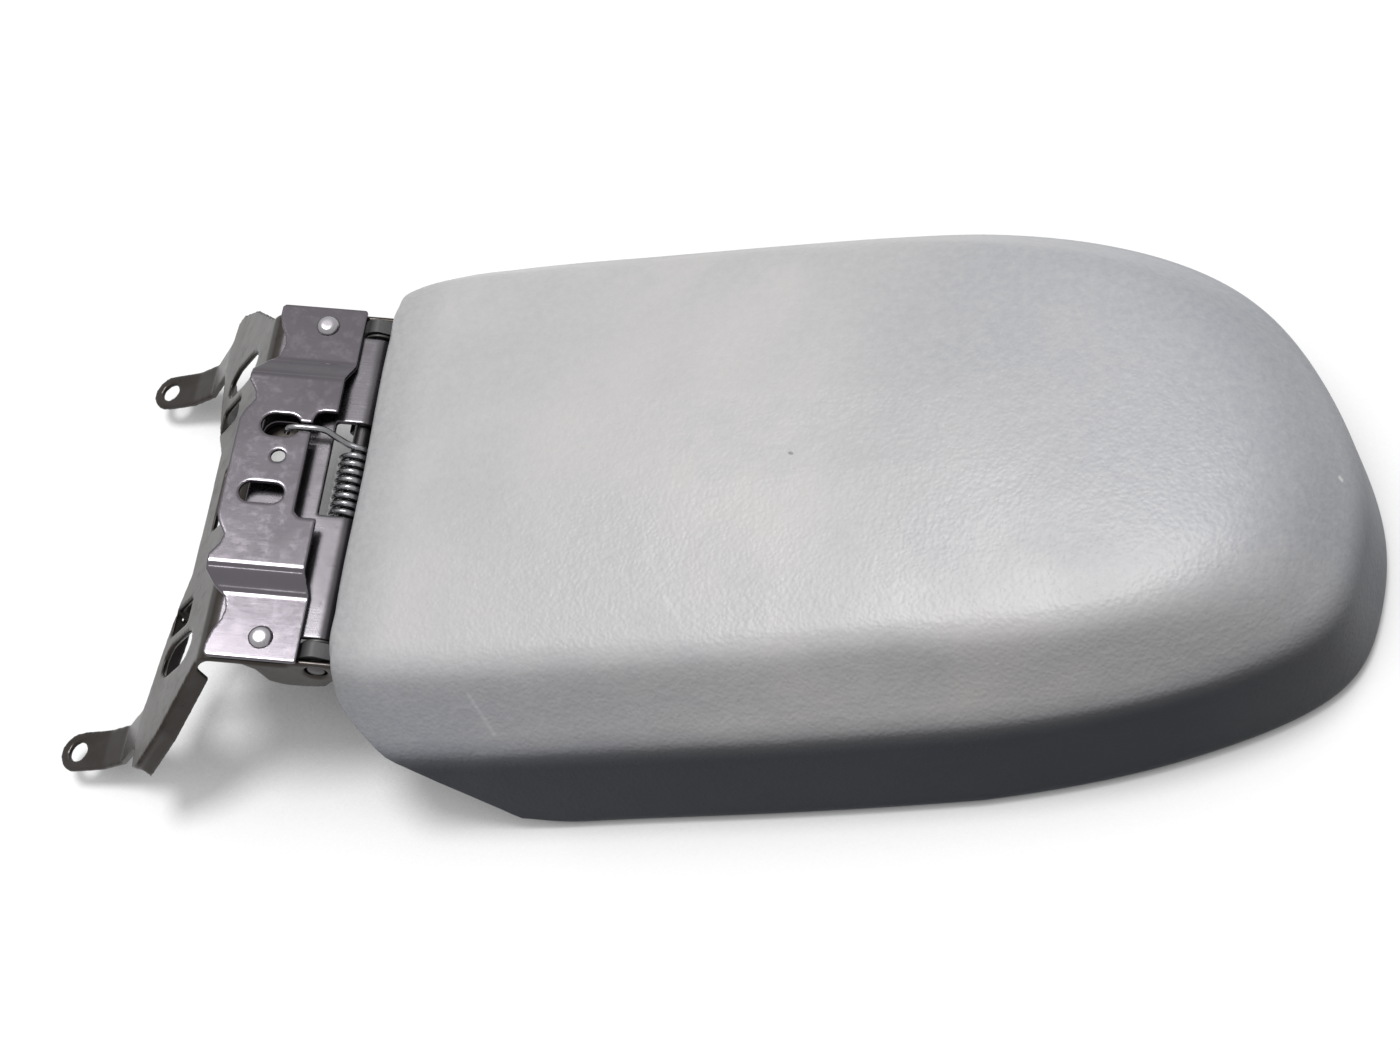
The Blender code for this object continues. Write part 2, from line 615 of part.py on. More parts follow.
def hinge_leaf():
    """The leaf under the plate, rolled round the pin into two knuckles with the spring between them."""
    path = [(LEAF_REAR, KNUCKLE_RADIUS), (-0.0040, KNUCKLE_RADIUS)]
    path += ring(0, 0, KNUCKLE_RADIUS, 90, -165, 24)
    leaf = sheet("hinge_leaf", path, -KNUCKLE_HALF, KNUCKLE_HALF, LEAF_THICK)
    opening = plan_slab("spring_gap", ((LEAF_GAP_X, KNUCKLE_NEAR_Y), (0.010, KNUCKLE_NEAR_Y),
                                       (0.010, NOTCH_FAR_Y), (LEAF_GAP_X, NOTCH_FAR_Y)), -0.010, 0.010)
    cut(leaf, opening)
    cut(leaf, plan_slab("leaf_keyhole", oblong(KEYHOLE_X, KEYHOLE_Y, KEYHOLE_LONG, KEYHOLE_WIDE), 0.0, 0.020))
    cut(leaf, post("leaf_sight_hole", SIGHT_HOLE_RADIUS, 0.0, 0.020, SIGHT_HOLE_X, SIGHT_HOLE_Y))
    for side in (-1, 1):
        cut(leaf, post("leaf_rivet_hole", RIVET_RADIUS + CLEAR, -0.005, 0.020, RIVET_X, side * RIVET_Y))
    return finish(tilted(leaf), material("leaf_steel", (0.30, 0.28, 0.31), 0.9, 0.30), 0.5)


def world_of(x, z):
    """World side-view position of a point in the hinge's own frame."""
    c, s = math.cos(HINGE_TILT), math.sin(HINGE_TILT)
    return (PIN_X + x * c + z * s, PIN_Z - x * s + z * c)


def bracket():
    """The stamped bracket: flange under the leaf, sloping face with turned-down rims, two arms with eyes."""
    top = KNUCKLE_RADIUS - LEAF_THICK - CLEAR
    path = [world_of(FLANGE_FRONT, top), world_of(RIDGE_X + 0.0030, top),
            world_of(RIDGE_X + 0.0008, top - 0.0006),
            world_of(RIDGE_X - 0.0014, top - 0.0026), FACE_FOOT, ARM_BEND, ARM_KNEE, ARM_END]
    body = sheet("mounting_bracket", path, -0.095, 0.095, BRACKET_THICK)
    deep = sheet("deep", path[3:5], -0.095, 0.095, RIM_DEEP)
    x0 = world_of(FLANGE_FRONT, 0)[0] + 0.001
    ridge = world_of(RIDGE_X, 0)[0]
    cheek_near = EAR_INNER_Y + EAR_THICK + CLEAR
    cheek_far = cheek_near + CHEEK_THICK
    tip = ring(EYELET_X, ARM_Y, ARM_HALF, 90, 270, 10)
    outer = [(x0 - 0.006, 0.0), (x0 - 0.006, NOTCH_FAR_Y + 0.002), (x0, NOTCH_FAR_Y + 0.004), (x0, cheek_far),
             (ridge - 0.0020, cheek_far), (ridge - 0.0060, 0.0635), (-0.0850, 0.0770), (-0.0985, 0.0840),
             (-0.1020, 0.0830), (-0.1035, ARM_Y + ARM_HALF)]
    lower = [(-0.1040, ARM_Y - ARM_HALF), (-0.1030, 0.0600), (-0.0990, 0.0450), (-0.0940, 0.0310),
             (-0.0890, 0.0225), (-0.0885, 0.0)]
    half_edge = outer + tip + lower
    outline = half_edge + [(x, -y) for x, y in reversed(half_edge[1:-1])]
    keep(body, plan_slab("bracket_outline", outline, -0.010, 0.080))
    t = RIM_THICK
    for side in (-1, 1):
        rim_outer = [(-0.0705, 0.0612), (-0.0850, 0.0742), (-0.0985, 0.0808), (-0.0990, 0.0838),
                     (-0.0850, 0.0768),
                     (-0.0690, 0.0626)]
        rim_lower = [(-0.1005, 0.0610), (-0.0967, 0.0455), (-0.0918, 0.0320), (-0.0868, 0.0232),
                     (-0.0868, 0.0100),
                     (-0.0868 - t, 0.0100), (-0.0890, 0.0225), (-0.0938, 0.0310), (-0.0988, 0.0450),
                     (-0.1028, 0.0600)]
        for points in (rim_outer, rim_lower):
            slab_points = [(x, side * y) for x, y in points]
            if side < 0:
                slab_points.reverse()
            rim = plan_slab("rim", slab_points, -0.010, 0.080)
            copy = add("deep_copy", deep.data.copy())
            keep(rim, copy)
            join(body, rim)
        cut(body, post("eye", EYELET_RADIUS, -0.01, 0.03, EYELET_X, side * ARM_Y, 28))
        cut(body, plan_slab("face_hole", oblong(FACE_HOLE_X, side * FACE_HOLE_Y,
                                                FACE_HOLE_LONG, FACE_HOLE_WIDE),
                            0.0, 0.080))
        half_long, half_wide = SLOT_LONG / 2, SLOT_WIDE / 2
        cut(body, plan_slab("slot", [(SLOT_X - half_long, side * SLOT_Y - half_wide),
                                     (SLOT_X + half_long, side * SLOT_Y - half_wide),
                                     (SLOT_X + half_long, side * SLOT_Y + half_wide),
                                     (SLOT_X - half_long, side * SLOT_Y + half_wide)], 0.0, 0.080))
        hole = post("bracket_rivet_hole", RIVET_RADIUS + CLEAR, -0.005, 0.020, RIVET_X, side * RIVET_Y)
        cut(body, tilted(hole))
        cheek_outline = ([(-0.0240, top - 0.0006), (-0.0095, top - 0.0006), (-0.0070, 0.0050), (0.0, 0.0051)]
                         + ring(0, 0, CHEEK_RADIUS, 40, -58, 10)
                         + [(0.0015, -0.0105), (-0.0041, -0.0115), (-0.0115, -0.0116), (-0.0160, -0.0096),
                            (-0.0188, -0.0021)])
        inner, outer = sorted((side * cheek_near, side * cheek_far))
        cheek = side_slab("cheek", [world_of(x, z) for x, z in cheek_outline], inner, outer)
        cut(cheek, rod("cheek_bore", PIN_RADIUS + CLEAR, inner - 0.001, outer + 0.001, PIN_X, PIN_Z))
        join(body, cheek)
    cut(body, tilted(post("bracket_sight_hole", SIGHT_HOLE_RADIUS, -0.005, 0.020, SIGHT_HOLE_X,
                          SIGHT_HOLE_Y)))
    cut(body, plan_slab("window", ((WINDOW_REAR, -WINDOW_HALF), (WINDOW_FRONT, -WINDOW_HALF),
                                   (WINDOW_FRONT, WINDOW_HALF), (WINDOW_REAR, WINDOW_HALF)), 0.0, 0.080))
    bpy.data.objects.remove(deep, do_unlink=True)
    return finish(body, material("bracket_steel", (0.16, 0.15, 0.15), 0.9, 0.38), 0.35)


def rivet(name, side):
    """A rivet through plate, leaf and bracket: domed head above, upset foot below."""
    head = PLATE_TOP + CLEAR
    foot = KNUCKLE_RADIUS - LEAF_THICK - CLEAR - BRACKET_THICK - CLEAR
    profile = [(0.0, head + RIVET_HEAD_HIGH), (0.0015, head + RIVET_HEAD_HIGH - 0.0001),
               (0.0027, head + RIVET_HEAD_HIGH * 0.72), (0.0034, head + RIVET_HEAD_HIGH * 0.40),
               (RIVET_HEAD_RADIUS, head), (RIVET_RADIUS, head), (RIVET_RADIUS, foot), (0.0031, foot),
               (0.0029, foot - 0.0008), (0.0, foot - 0.0010)]
    body = turned(name, profile, Matrix.Translation((RIVET_X, side * RIVET_Y, 0)), 20)
    return finish(tilted(body), material(name + "_steel", (0.45, 0.44, 0.46), 0.95, 0.22))


def along_y(x, z, flip=1):
    """Places a turned profile with its axis along Y at the given side-view point."""
    return Matrix.Translation((x, 0, z)) @ Matrix.Rotation(math.radians(-90 * flip), 4, "X")


def hinge_pin():
    """The pin: a rod through both cheeks, both ears, both knuckles and the spring, its ends domed over."""
    end = EAR_INNER_Y + EAR_THICK + CLEAR + CHEEK_THICK - 0.0001
    half = [(0.0, end), (PIN_RADIUS - 0.0010, end - 0.0002), (PIN_RADIUS - 0.0002, end - 0.0007),
            (PIN_RADIUS, end - 0.0012)]
    profile = half + [(r, -h) for r, h in reversed(half)]
    return finish(turned("hinge_pin", profile, along_y(PIN_X, PIN_Z), 32),
                  material("pin_steel", (0.50, 0.49, 0.51), 0.95, 0.25))


def ear_bush(name, side):
    """A flanged plastic bush between the pin and an ear."""
    bore = PIN_RADIUS + RUNNING_CLEAR
    flange = EAR_INNER_Y - CLEAR - BUSH_FLANGE_THICK
    profile = [(bore, flange), (BUSH_FLANGE_RADIUS, flange), (BUSH_FLANGE_RADIUS, EAR_INNER_Y - CLEAR),
               (bore + BUSH_WALL, EAR_INNER_Y - CLEAR), (bore + BUSH_WALL, EAR_INNER_Y + EAR_THICK),
               (bore, EAR_INNER_Y + EAR_THICK), (bore, flange)]
    return finish(turned(name, profile, along_y(PIN_X, PIN_Z, side), 32),
                  material(name + "_nylon", (0.55, 0.54, 0.50), 0.0, 0.45))


def wire(name, points, radius):
    """A round wire along the points."""
    curve = bpy.data.curves.new(name, "CURVE")
    curve.dimensions = "3D"
    curve.bevel_depth = radius
    curve.bevel_resolution = 2
    curve.use_fill_caps = True
    spline = curve.splines.new("POLY")
    spline.points.add(len(points) - 1)
    for point, spot in zip(spline.points, points):
        point.co = (*spot, 1)
    return mesh_from_curve(name, curve, Matrix.Identity(4))


def torsion_spring():
    """The spring on the pin: one leg hooked into the plate's keyhole, the other against the lid's rail."""
    points = []
    lean = math.degrees(math.atan2(RELIEF_KNEE_Z - PAD_LIP_Z, RELIEF_KNEE_X - PAD_REAR)) + 90
    start = math.radians(lean) + HINGE_TILT
    tail_dir = Vector((math.sin(start), 0, -math.cos(start)))
    first = Vector((COIL_RADIUS * math.cos(start), COIL_START_Y, COIL_RADIUS * math.sin(start)))
    for reach in (0.0160, 0.0080, 0.0020):
        points.append(first + tail_dir * reach)
    steps = 14
    total = math.radians(90) + 2 * math.pi * math.floor(COIL_TURNS) - start
    count = int(steps * COIL_TURNS)
    for i in range(count + 1):
        a = start + total * i / count
        y = COIL_START_Y + COIL_PITCH * total * i / count / (2 * math.pi)
        points.append(Vector((COIL_RADIUS * math.cos(a), y, COIL_RADIUS * math.sin(a))))
    last = points[-1]
    high = PLATE_TOP + PLATE_RISE - PLATE_THICK / 2
    for x, y, z in ((-0.0026, last.y + 0.0008, COIL_RADIUS + 0.0003), (-0.0062, KEYHOLE_Y - 0.0020, 0.0076),
                    (-0.0095, KEYHOLE_Y, high - 0.0006), (-0.0125, KEYHOLE_Y, high),
                    (-0.0190, KEYHOLE_Y, high),
                    (-0.0215, KEYHOLE_Y, high - 0.0010), (-0.0225, KEYHOLE_Y, high - 0.0040)):
        points.append(Vector((x, y, z)))
    body = wire("torsion_spring", points, COIL_WIRE)
    return finish(tilted(body), material("spring_steel", (0.55, 0.55, 0.56), 0.95, 0.25), 1.2)


def latch_lever():
    """The catch: finger paddle at the front, hook at the rear, an eye on its pin between them."""
    hook = ((-0.0095, -0.0010), (-0.0145, -0.0065), (-0.0150, -0.0120), (-0.0125, -0.0148),
            (-0.0070, -0.0148),
            (-0.0068, -0.0126), (-0.0108, -0.0122), (-0.0104, -0.0080), (-0.0068, -0.0048))
    paddle = ((0.0055, -0.0070), (0.0065, -0.0142), (0.0085, -0.0142), (0.0082, -0.0055), (0.0115, 0.0005),
              (0.0110, 0.0022), (0.0070, 0.0025))
    outline = (ring(LATCH_X, LATCH_Z, LATCH_EYE_RADIUS, 40, 160, 7)
               + [(LATCH_X + x, LATCH_Z + z) for x, z in hook]
               + ring(LATCH_X, LATCH_Z, LATCH_EYE_RADIUS, 235, 300, 4)
               + [(LATCH_X + x, LATCH_Z + z) for x, z in paddle])
    lever = side_slab("latch_lever", outline, LATCH_Y - LATCH_HALF, LATCH_Y + LATCH_HALF)
    cut(lever, rod("latch_eye", LATCH_PIN_RADIUS + RUNNING_CLEAR, LATCH_Y - 0.02, LATCH_Y + 0.02,
                   LATCH_X, LATCH_Z, 20))
    return finish(lever, material("latch_plastic", (0.022, 0.022, 0.024), 0.0, 0.40), 0.5)


def latch_spring():
    """The coil that pushes the catch back."""
    points = []
    low, high = 0.0194, BASE_TOP_Z - BASE_WALL - 0.0008
    turns = 5
    for i in range(turns * 8 + 1):
        a = 2 * math.pi * i / 8
        points.append((LATCH_X + LATCH_SPRING_AHEAD + LATCH_SPRING_RADIUS * math.cos(a),
                       LATCH_Y + LATCH_SPRING_RADIUS * math.sin(a), low + (high - low) * i / (turns * 8)))
    return finish(wire("latch_spring", points, LATCH_SPRING_WIRE),
                  material("latch_spring_steel", (0.55, 0.55, 0.56), 0.95, 0.25), 1.2)


KNUCKLE_RADIUS = PIN_RADIUS + CLEAR + LEAF_THICK
PLATE_TOP = KNUCKLE_RADIUS + CLEAR + PLATE_THICK

padding()
moulded_base()
inner_cover()
number = 1
for spot_x in BOSS_X:
    for spot_y in (-BOSS_Y, BOSS_Y):
        cover_screw(f"liner_screw_{number}", spot_x, spot_y)
        number += 1
number = 1
for spot_x in BUMPER_X:
    for spot_y in (-BUMPER_Y, BUMPER_Y):
        rubber_bumper(f"rubber_bumper_{number}", spot_x, spot_y)
        number += 1
top_plate()
hinge_leaf()
bracket()
rivet("rivet_near", -1)
rivet("rivet_far", 1)
hinge_pin()
ear_bush("bush_far", 1)
ear_bush("bush_near", -1)
torsion_spring()
latch_lever()
latch_pin = rod("latch_pin", LATCH_PIN_RADIUS, LATCH_Y - LUG_Y - LUG_THICK, LATCH_Y + LUG_Y + LUG_THICK,
                LATCH_X, LATCH_Z, 20)
finish(latch_pin, material("latch_pin_steel", (0.50, 0.50, 0.51), 0.95, 0.30))
latch_spring()

# Everything moves together so that the part's box is centred on the origin
for piece in part_collection.objects:
    piece.data.transform(Matrix.Translation((SHIFT_X, 0, 0)))
    piece.data.update()
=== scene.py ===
import json
import math

import bmesh
import bpy
import numpy as np
from mathutils import Matrix, Vector


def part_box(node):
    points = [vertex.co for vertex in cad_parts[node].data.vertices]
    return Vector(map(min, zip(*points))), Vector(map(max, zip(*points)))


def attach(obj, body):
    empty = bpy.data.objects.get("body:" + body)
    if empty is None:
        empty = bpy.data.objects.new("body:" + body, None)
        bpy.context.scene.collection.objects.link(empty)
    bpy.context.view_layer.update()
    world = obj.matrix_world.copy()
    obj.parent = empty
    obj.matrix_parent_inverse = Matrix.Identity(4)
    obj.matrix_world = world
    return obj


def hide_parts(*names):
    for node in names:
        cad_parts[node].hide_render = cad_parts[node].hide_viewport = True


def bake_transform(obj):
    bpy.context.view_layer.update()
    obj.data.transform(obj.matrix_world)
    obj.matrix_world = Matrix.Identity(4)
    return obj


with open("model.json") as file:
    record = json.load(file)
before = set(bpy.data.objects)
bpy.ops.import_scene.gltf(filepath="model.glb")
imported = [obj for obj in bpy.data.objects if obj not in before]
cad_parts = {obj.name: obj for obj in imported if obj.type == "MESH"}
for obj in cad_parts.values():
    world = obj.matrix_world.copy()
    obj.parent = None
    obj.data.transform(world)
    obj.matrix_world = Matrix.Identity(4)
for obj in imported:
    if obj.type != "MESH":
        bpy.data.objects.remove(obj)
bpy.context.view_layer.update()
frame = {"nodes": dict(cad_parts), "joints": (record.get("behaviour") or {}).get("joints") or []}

# Padded armrest
# Soft foam under a one-piece grey skin with a fine leather grain, moulded on the black base.
# A lofted grid: a smooth plan outline carried up a side profile, with the rear relief cut away.

# The plan outline in shares: from the rear (0) to the front (1), and from the near side (-1) to the far one
PLAN = [(0.0, 0.0), (0.0, -0.70), (0.003, -0.88), (0.014, -0.955), (0.045, -0.990), (0.120, -1.000),
        (0.300, -0.990), (0.440, -0.979), (0.573, -0.960), (0.667, -0.940), (0.791, -0.883), (0.882, -0.794),
        (0.943, -0.713), (0.971, -0.625), (0.986, -0.466), (1.0, -0.250), (0.989, 0.050), (0.966, 0.262),
        (0.934, 0.470), (0.8885, 0.640), (0.825, 0.769), (0.750, 0.867), (0.650, 0.938), (0.550, 0.965),
        (0.440, 0.979), (0.300, 0.990), (0.120, 1.000), (0.045, 0.990), (0.014, 0.955), (0.003, 0.88),
        (0.0, 0.70)]
pad_low, pad_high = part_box("armrest_pad")
REAR, FRONT, HALF, TOP = pad_low.x, pad_high.x, pad_high.y, pad_high.z
# Each row of the side profile: height, front, half width, how far the rear draws in, near corner's ease
PROFILE = np.array([
    (0.0000, FRONT - 0.0022, HALF - 0.0018, 0.0, 0.15),
    (0.0022, FRONT, HALF, 0.0, 0.15),
    (0.0362, FRONT - 0.0063, HALF - 0.0078, 0.0, 0.0),
    (0.0385, FRONT - 0.0079, HALF - 0.0094, 0.0, 0.0),
    (0.0540, FRONT - 0.0215, HALF - 0.0226, 0.0, -0.22),
    (0.0567, FRONT - 0.0244, HALF - 0.0251, 0.0005, -0.24),
    (0.0586, FRONT - 0.0300, HALF - 0.0300, 0.0020, -0.25),
    (0.0600, FRONT - 0.0445, HALF - 0.0428, 0.0055, -0.25),
    (0.0612, FRONT - 0.0695, HALF - 0.0598, 0.0140, -0.25),
    (TOP, FRONT - 0.1145, HALF - 0.0798, 0.0450, -0.25),
])
# The rear of the underside: the lip's height, the knee where its slope ends, and where it is flat
LIP_Z, KNEE, RELIEF_END = 0.0490, (REAR + 0.0467, 0.0050), REAR + 0.0697
# The hollow that the base fills: its rear, front and half width, and its ceiling
INNER, CEILING = (REAR + 0.0134, FRONT - 0.0242, HALF - 0.0234), 0.0383
# The middles of the crown and of that ceiling, then the grid: its columns, wall rows, step and rim rows
CROWN_MIDDLE, ROOF_MIDDLE = (0.030, -0.002, TOP + 0.0001), (0.050, 0.0, CEILING)
AROUND, UPWARD, PROFILE_STEP, RIM_ROWS = 460, 96, 0.0003, 40
# How far the corners are averaged: the plan's front, and the profile's lower and upper rows, side and tip
PLAN_BLUR, SIDE_BLUR, TIP_BLUR = 7.0, (4.0, 6.5), (14.0, 26.0)
# Where those averages take over: shares of the plan's length, and runs along the profile
FRONT_SPAN, TIP_SPAN, UPPER_SPAN = (0.55, 0.85), (0.80, 0.97), (0.040, 0.055)
# The plan share past which the near corner eases, and the crown's hollows: their depth, foot and fade
EASE_FROM = 0.62
HOLLOW_DEPTH, HOLLOW_FROM, HOLLOW_FADE = 0.00016, 0.052, 0.006


def closed_curve(points, count, fineness=40, stretch=(1.7, 1.0)):
    """A smooth closed curve through the points: cubic pieces whose tangents come from the neighbours.

    Its steps are even once the plan is stretched to about the pad's real proportions.
    """
    p = np.array(points)
    before, after = np.roll(p, 1, 0), np.roll(p, -1, 0)
    d0 = np.linalg.norm(p - before, axis=1)[:, None] + 1e-9
    d1 = np.linalg.norm(after - p, axis=1)[:, None] + 1e-9
    slope = ((p - before) / d0 * d1 + (after - p) / d1 * d0) / (d0 + d1)
    t = np.linspace(0, 1, fineness, endpoint=False)[None, :, None]
    a, b, m0, m1 = p[:, None], after[:, None], (slope * d1)[:, None], (np.roll(slope, -1, 0) * d1)[:, None]
    fine = ((2 * t**3 - 3 * t**2 + 1) * a + (t**3 - 2 * t**2 + t) * m0
            + (-2 * t**3 + 3 * t**2) * b + (t**3 - t**2) * m1).reshape(-1, 2)
    loop = np.vstack([fine, fine[:1]])
    run = np.concatenate([[0], np.cumsum(np.linalg.norm(np.diff(loop, axis=0) * stretch, axis=1))])
    at = np.linspace(0, run[-1], count, endpoint=False)
    return np.stack([np.interp(at, run, loop[:, i]) for i in range(2)], 1)


def smooth_share(value, low, high):
    """0 below low, 1 above high and an S-curve between them."""
    t = np.clip((value - low) / (high - low), 0, 1)
    return t * t * (3 - 2 * t)


def blurred(values, width):
    """The rows of an array averaged with a Gaussian window of that many rows, its ends held."""
    reach = int(3 * width) + 1
    window = np.exp(-0.5 * (np.arange(-reach, reach + 1) / width) ** 2)
    window /= window.sum()
    held = np.pad(values, ((reach, reach), (0, 0)), mode="edge")
    return np.stack([np.convolve(held[:, i], window, "valid") for i in range(values.shape[1])], 1)


def grid_mesh(name, points, wrap_rows=False, wrap_columns=True):
    """A quad grid from an array of (rows, columns, 3); the faces join each row to the next one."""
    rows, columns = points.shape[:2]
    r = np.arange(rows if wrap_rows else rows - 1)[:, None]
    c = np.arange(columns if wrap_columns else columns - 1)[None, :]
    r2, c2 = (r + 1) % rows, (c + 1) % columns
    corners = [r * columns + c, r * columns + c2, r2 * columns + c2, r2 * columns + c]
    quads = np.stack(corners, -1).reshape(-1, 4)
    mesh = bpy.data.meshes.new(name)
    mesh.from_pydata(points.reshape(-1, 3), [], quads.tolist())
    return mesh


def placed(name, mesh, mat, smooth=True):
    """A new object from the mesh, its doubles merged, its faces outward and its points where they are."""
    shell = bmesh.new()
    shell.from_mesh(mesh)
    bmesh.ops.remove_doubles(shell, verts=shell.verts, dist=1e-6)
    bmesh.ops.recalc_face_normals(shell, faces=shell.faces)
    shell.to_mesh(mesh)
    shell.free()
    mesh.polygons.foreach_set("use_smooth", np.full(len(mesh.polygons), smooth))
    mesh.materials.clear()
    mesh.materials.append(mat)
    made = bpy.data.objects.new(name, mesh)
    bpy.context.scene.collection.objects.link(made)
    return made


def relief_height(x):
    """The height of the pad's underside at x: straight from the rear lip to the knee, then down to zero."""
    return np.interp(x, [REAR, KNEE[0], RELIEF_END], [LIP_Z, KNEE[1], 0.0])


def pad_points():
    """Rows of the pad, from its inner ceiling over the underside and the wall to the middle of its crown.

    A wall point is rear + u * (front - rear) along and v * half across, with (u, v) from the plan outline and
    front, half and height from the profile. Each column starts where its wall meets the rear relief.
    """
    plan = closed_curve(PLAN, AROUND)
    eased = blurred(np.vstack([plan, plan, plan]), PLAN_BLUR)[AROUND:2 * AROUND]
    to_front = smooth_share(plan[:, 0], *FRONT_SPAN)[:, None]
    plan = plan * (1 - to_front) + eased * to_front
    u, v = plan[:, 0][None], plan[:, 1][None]
    step = np.hypot(np.diff(PROFILE[:, 2]), np.diff(PROFILE[:, 0]))
    run = np.concatenate([[0], np.cumsum(step)])
    fine_run = np.arange(0, run[-1], PROFILE_STEP)
    fine = np.stack([np.interp(fine_run, run, PROFILE[:, i]) for i in range(5)], 1)
    upper = smooth_share(fine_run, *UPPER_SPAN)[:, None]
    side, tip = (blurred(fine, low) * (1 - upper) + blurred(fine, high) * upper
                 for low, high in (SIDE_BLUR, TIP_BLUR))
    tip[:RIM_ROWS] = side[:RIM_ROWS]
    near_tip = smooth_share(u, *TIP_SPAN)

    def spot(at):
        """The wall's points at that run along the profile, with the near front corner eased in or out."""
        z, front, half, draw, ease = (np.interp(at, fine_run, side[:, i]) * (1 - near_tip)
                                      + np.interp(at, fine_run, tip[:, i]) * near_tip for i in range(5))
        ease = np.where(v < 0, 1 - ease * np.maximum(u - EASE_FROM, 0), 1.0)
        rear = REAR + draw
        return np.stack([rear + u * (front - rear), v * half * ease, z + 0 * u], -1)

    table = spot(np.broadcast_to(fine_run[:, None], (len(fine_run), AROUND)))
    under = table[..., 2] < relief_height(table[..., 0]) - 1e-7
    start = fine_run[under.sum(0)]
    share = np.concatenate([[0, 0.004, 0.009, 0.015, 0.022], np.linspace(0.03, 1, UPWARD)])[:, None]
    wall = spot(start[None] + (fine_run[-1] - start[None]) * share)
    shrink = np.linspace(0.85, 0.0, 10)[:, None, None]
    crown = CROWN_MIDDLE + (wall[-1] - CROWN_MIDDLE) * shrink
    inner = np.stack([INNER[0] + plan[:, 0] * (INNER[1] - INNER[0]), plan[:, 1] * INNER[2]], -1)
    across = np.array([1.0, 0.7, 0.4, 0.15, 0.06, 0.025])[:, None, None]
    floor = wall[0][None, :, :2] * (1 - across) + inner[None] * across
    floor = np.concatenate([floor, relief_height(floor[..., 0])[..., None]], -1)
    ceiling = np.concatenate([inner, np.full((AROUND, 1), CEILING)], 1)
    roof = ROOF_MIDDLE + (ceiling[None] - ROOF_MIDDLE) * np.array([0.0, 0.5, 1.0])[:, None, None]
    roof[:, :, 2] = CEILING
    roof[-1, :, 2] = np.maximum(CEILING, floor[0, :, 2] + 0.0005)
    # The rows next to the wall's foot are averaged a little, which rounds the lower rim
    body = np.concatenate([floor, wall, crown])
    for _ in range(3):
        body[2:14] = 0.25 * body[1:13] + 0.5 * body[2:14] + 0.25 * body[3:15]
    return np.concatenate([roof, body])


def settled(points):
    """Broad shallow hollows where arms have pressed the crown: a sum of slow waves, faded at the edges."""
    x, y, z = points[..., 0], points[..., 1], points[..., 2]
    wave = (np.sin(x * 31 + 1.3) * np.sin(y * 43 + 0.4) + 0.6 * np.sin(x * 57 - y * 39 + 2.0)
            + 0.4 * np.sin(x * 83 + y * 71))
    points[..., 2] = z + HOLLOW_DEPTH * (wave - 1.2) * np.clip((z - HOLLOW_FROM) / HOLLOW_FADE, 0, 1)
    return points


def node(tree, kind, inputs=None, **settings):
    """Adds a shader node, its settings and its inputs, where an input is a value or another node's socket."""
    made = tree.nodes.new(kind)
    for key, value in settings.items():
        setattr(made, key, value)
    for key, value in (inputs or {}).items():
        if isinstance(value, bpy.types.NodeSocket):
            tree.links.new(value, made.inputs[key])
        else:
            made.inputs[key].default_value = value
    return made


def new_finish(name, color, metallic, roughness):
    """A Principled material and what its details are built on: its tree, its shader, object coordinates."""
    mat = bpy.data.materials.new(name)
    mat.use_nodes = True
    tree = mat.node_tree
    shader = tree.nodes["Principled BSDF"]
    shader.inputs["Base Color"].default_value = (*color, 1)
    shader.inputs["Metallic"].default_value = metallic
    shader.inputs["Roughness"].default_value = roughness
    return mat, tree, shader, node(tree, "ShaderNodeTexCoord").outputs["Object"]


def grain(tree, where, scale, detail=3.0, rough=0.55, lift=0.0):
    """A noise texture's value."""
    return node(tree, "ShaderNodeTexNoise", {"Vector": where, "Scale": scale, "Detail": detail,
                                             "Roughness": rough, "Distortion": lift}).outputs["Fac"]


def spread(tree, value, low, high, out_low, out_high):
    """Maps a value from one range to another and clamps it."""
    return node(tree, "ShaderNodeMapRange", {"Value": value, "From Min": low, "From Max": high,
                                             "To Min": out_low, "To Max": out_high}).outputs["Result"]


def tint(tree, share, a, b, mode="MIX"):
    """Mixes two colours, each a tuple or a socket, by a share that is a number or a socket."""
    mix = node(tree, "ShaderNodeMix", data_type="RGBA", blend_type=mode)
    for socket, value in ((mix.inputs[0], share), (mix.inputs[6], a), (mix.inputs[7], b)):
        if isinstance(value, bpy.types.NodeSocket):
            tree.links.new(value, socket)
        else:
            socket.default_value = value if isinstance(value, (int, float)) else (*value, 1)
    return mix.outputs[2]


def math_of(tree, operation, a, b=0.0):
    """One arithmetic step on numbers or sockets."""
    return node(tree, "ShaderNodeMath", {0: a, 1: b}, operation=operation).outputs[0]


def mark(tree, where, a, b, width, blur):
    """1 on a short straight mark from a to b and 0 away from it, by the distance to its nearest point."""
    a, b = np.array(a), np.array(b)
    run = b - a
    off = node(tree, "ShaderNodeVectorMath", {0: where, 1: tuple(a)}, operation="SUBTRACT").outputs[0]
    along = node(tree, "ShaderNodeVectorMath", {0: off, 1: tuple(run / max(run @ run, 1e-12))},
                 operation="DOT_PRODUCT").outputs["Value"]
    share = node(tree, "ShaderNodeClamp", {"Value": along}).outputs[0]
    foot = node(tree, "ShaderNodeVectorMath", {0: tuple(run), "Scale": share}, operation="SCALE").outputs[0]
    gap = node(tree, "ShaderNodeVectorMath", {0: off, 1: foot}, operation="DISTANCE").outputs["Value"]
    return spread(tree, gap, width, width + blur, 1.0, 0.0)


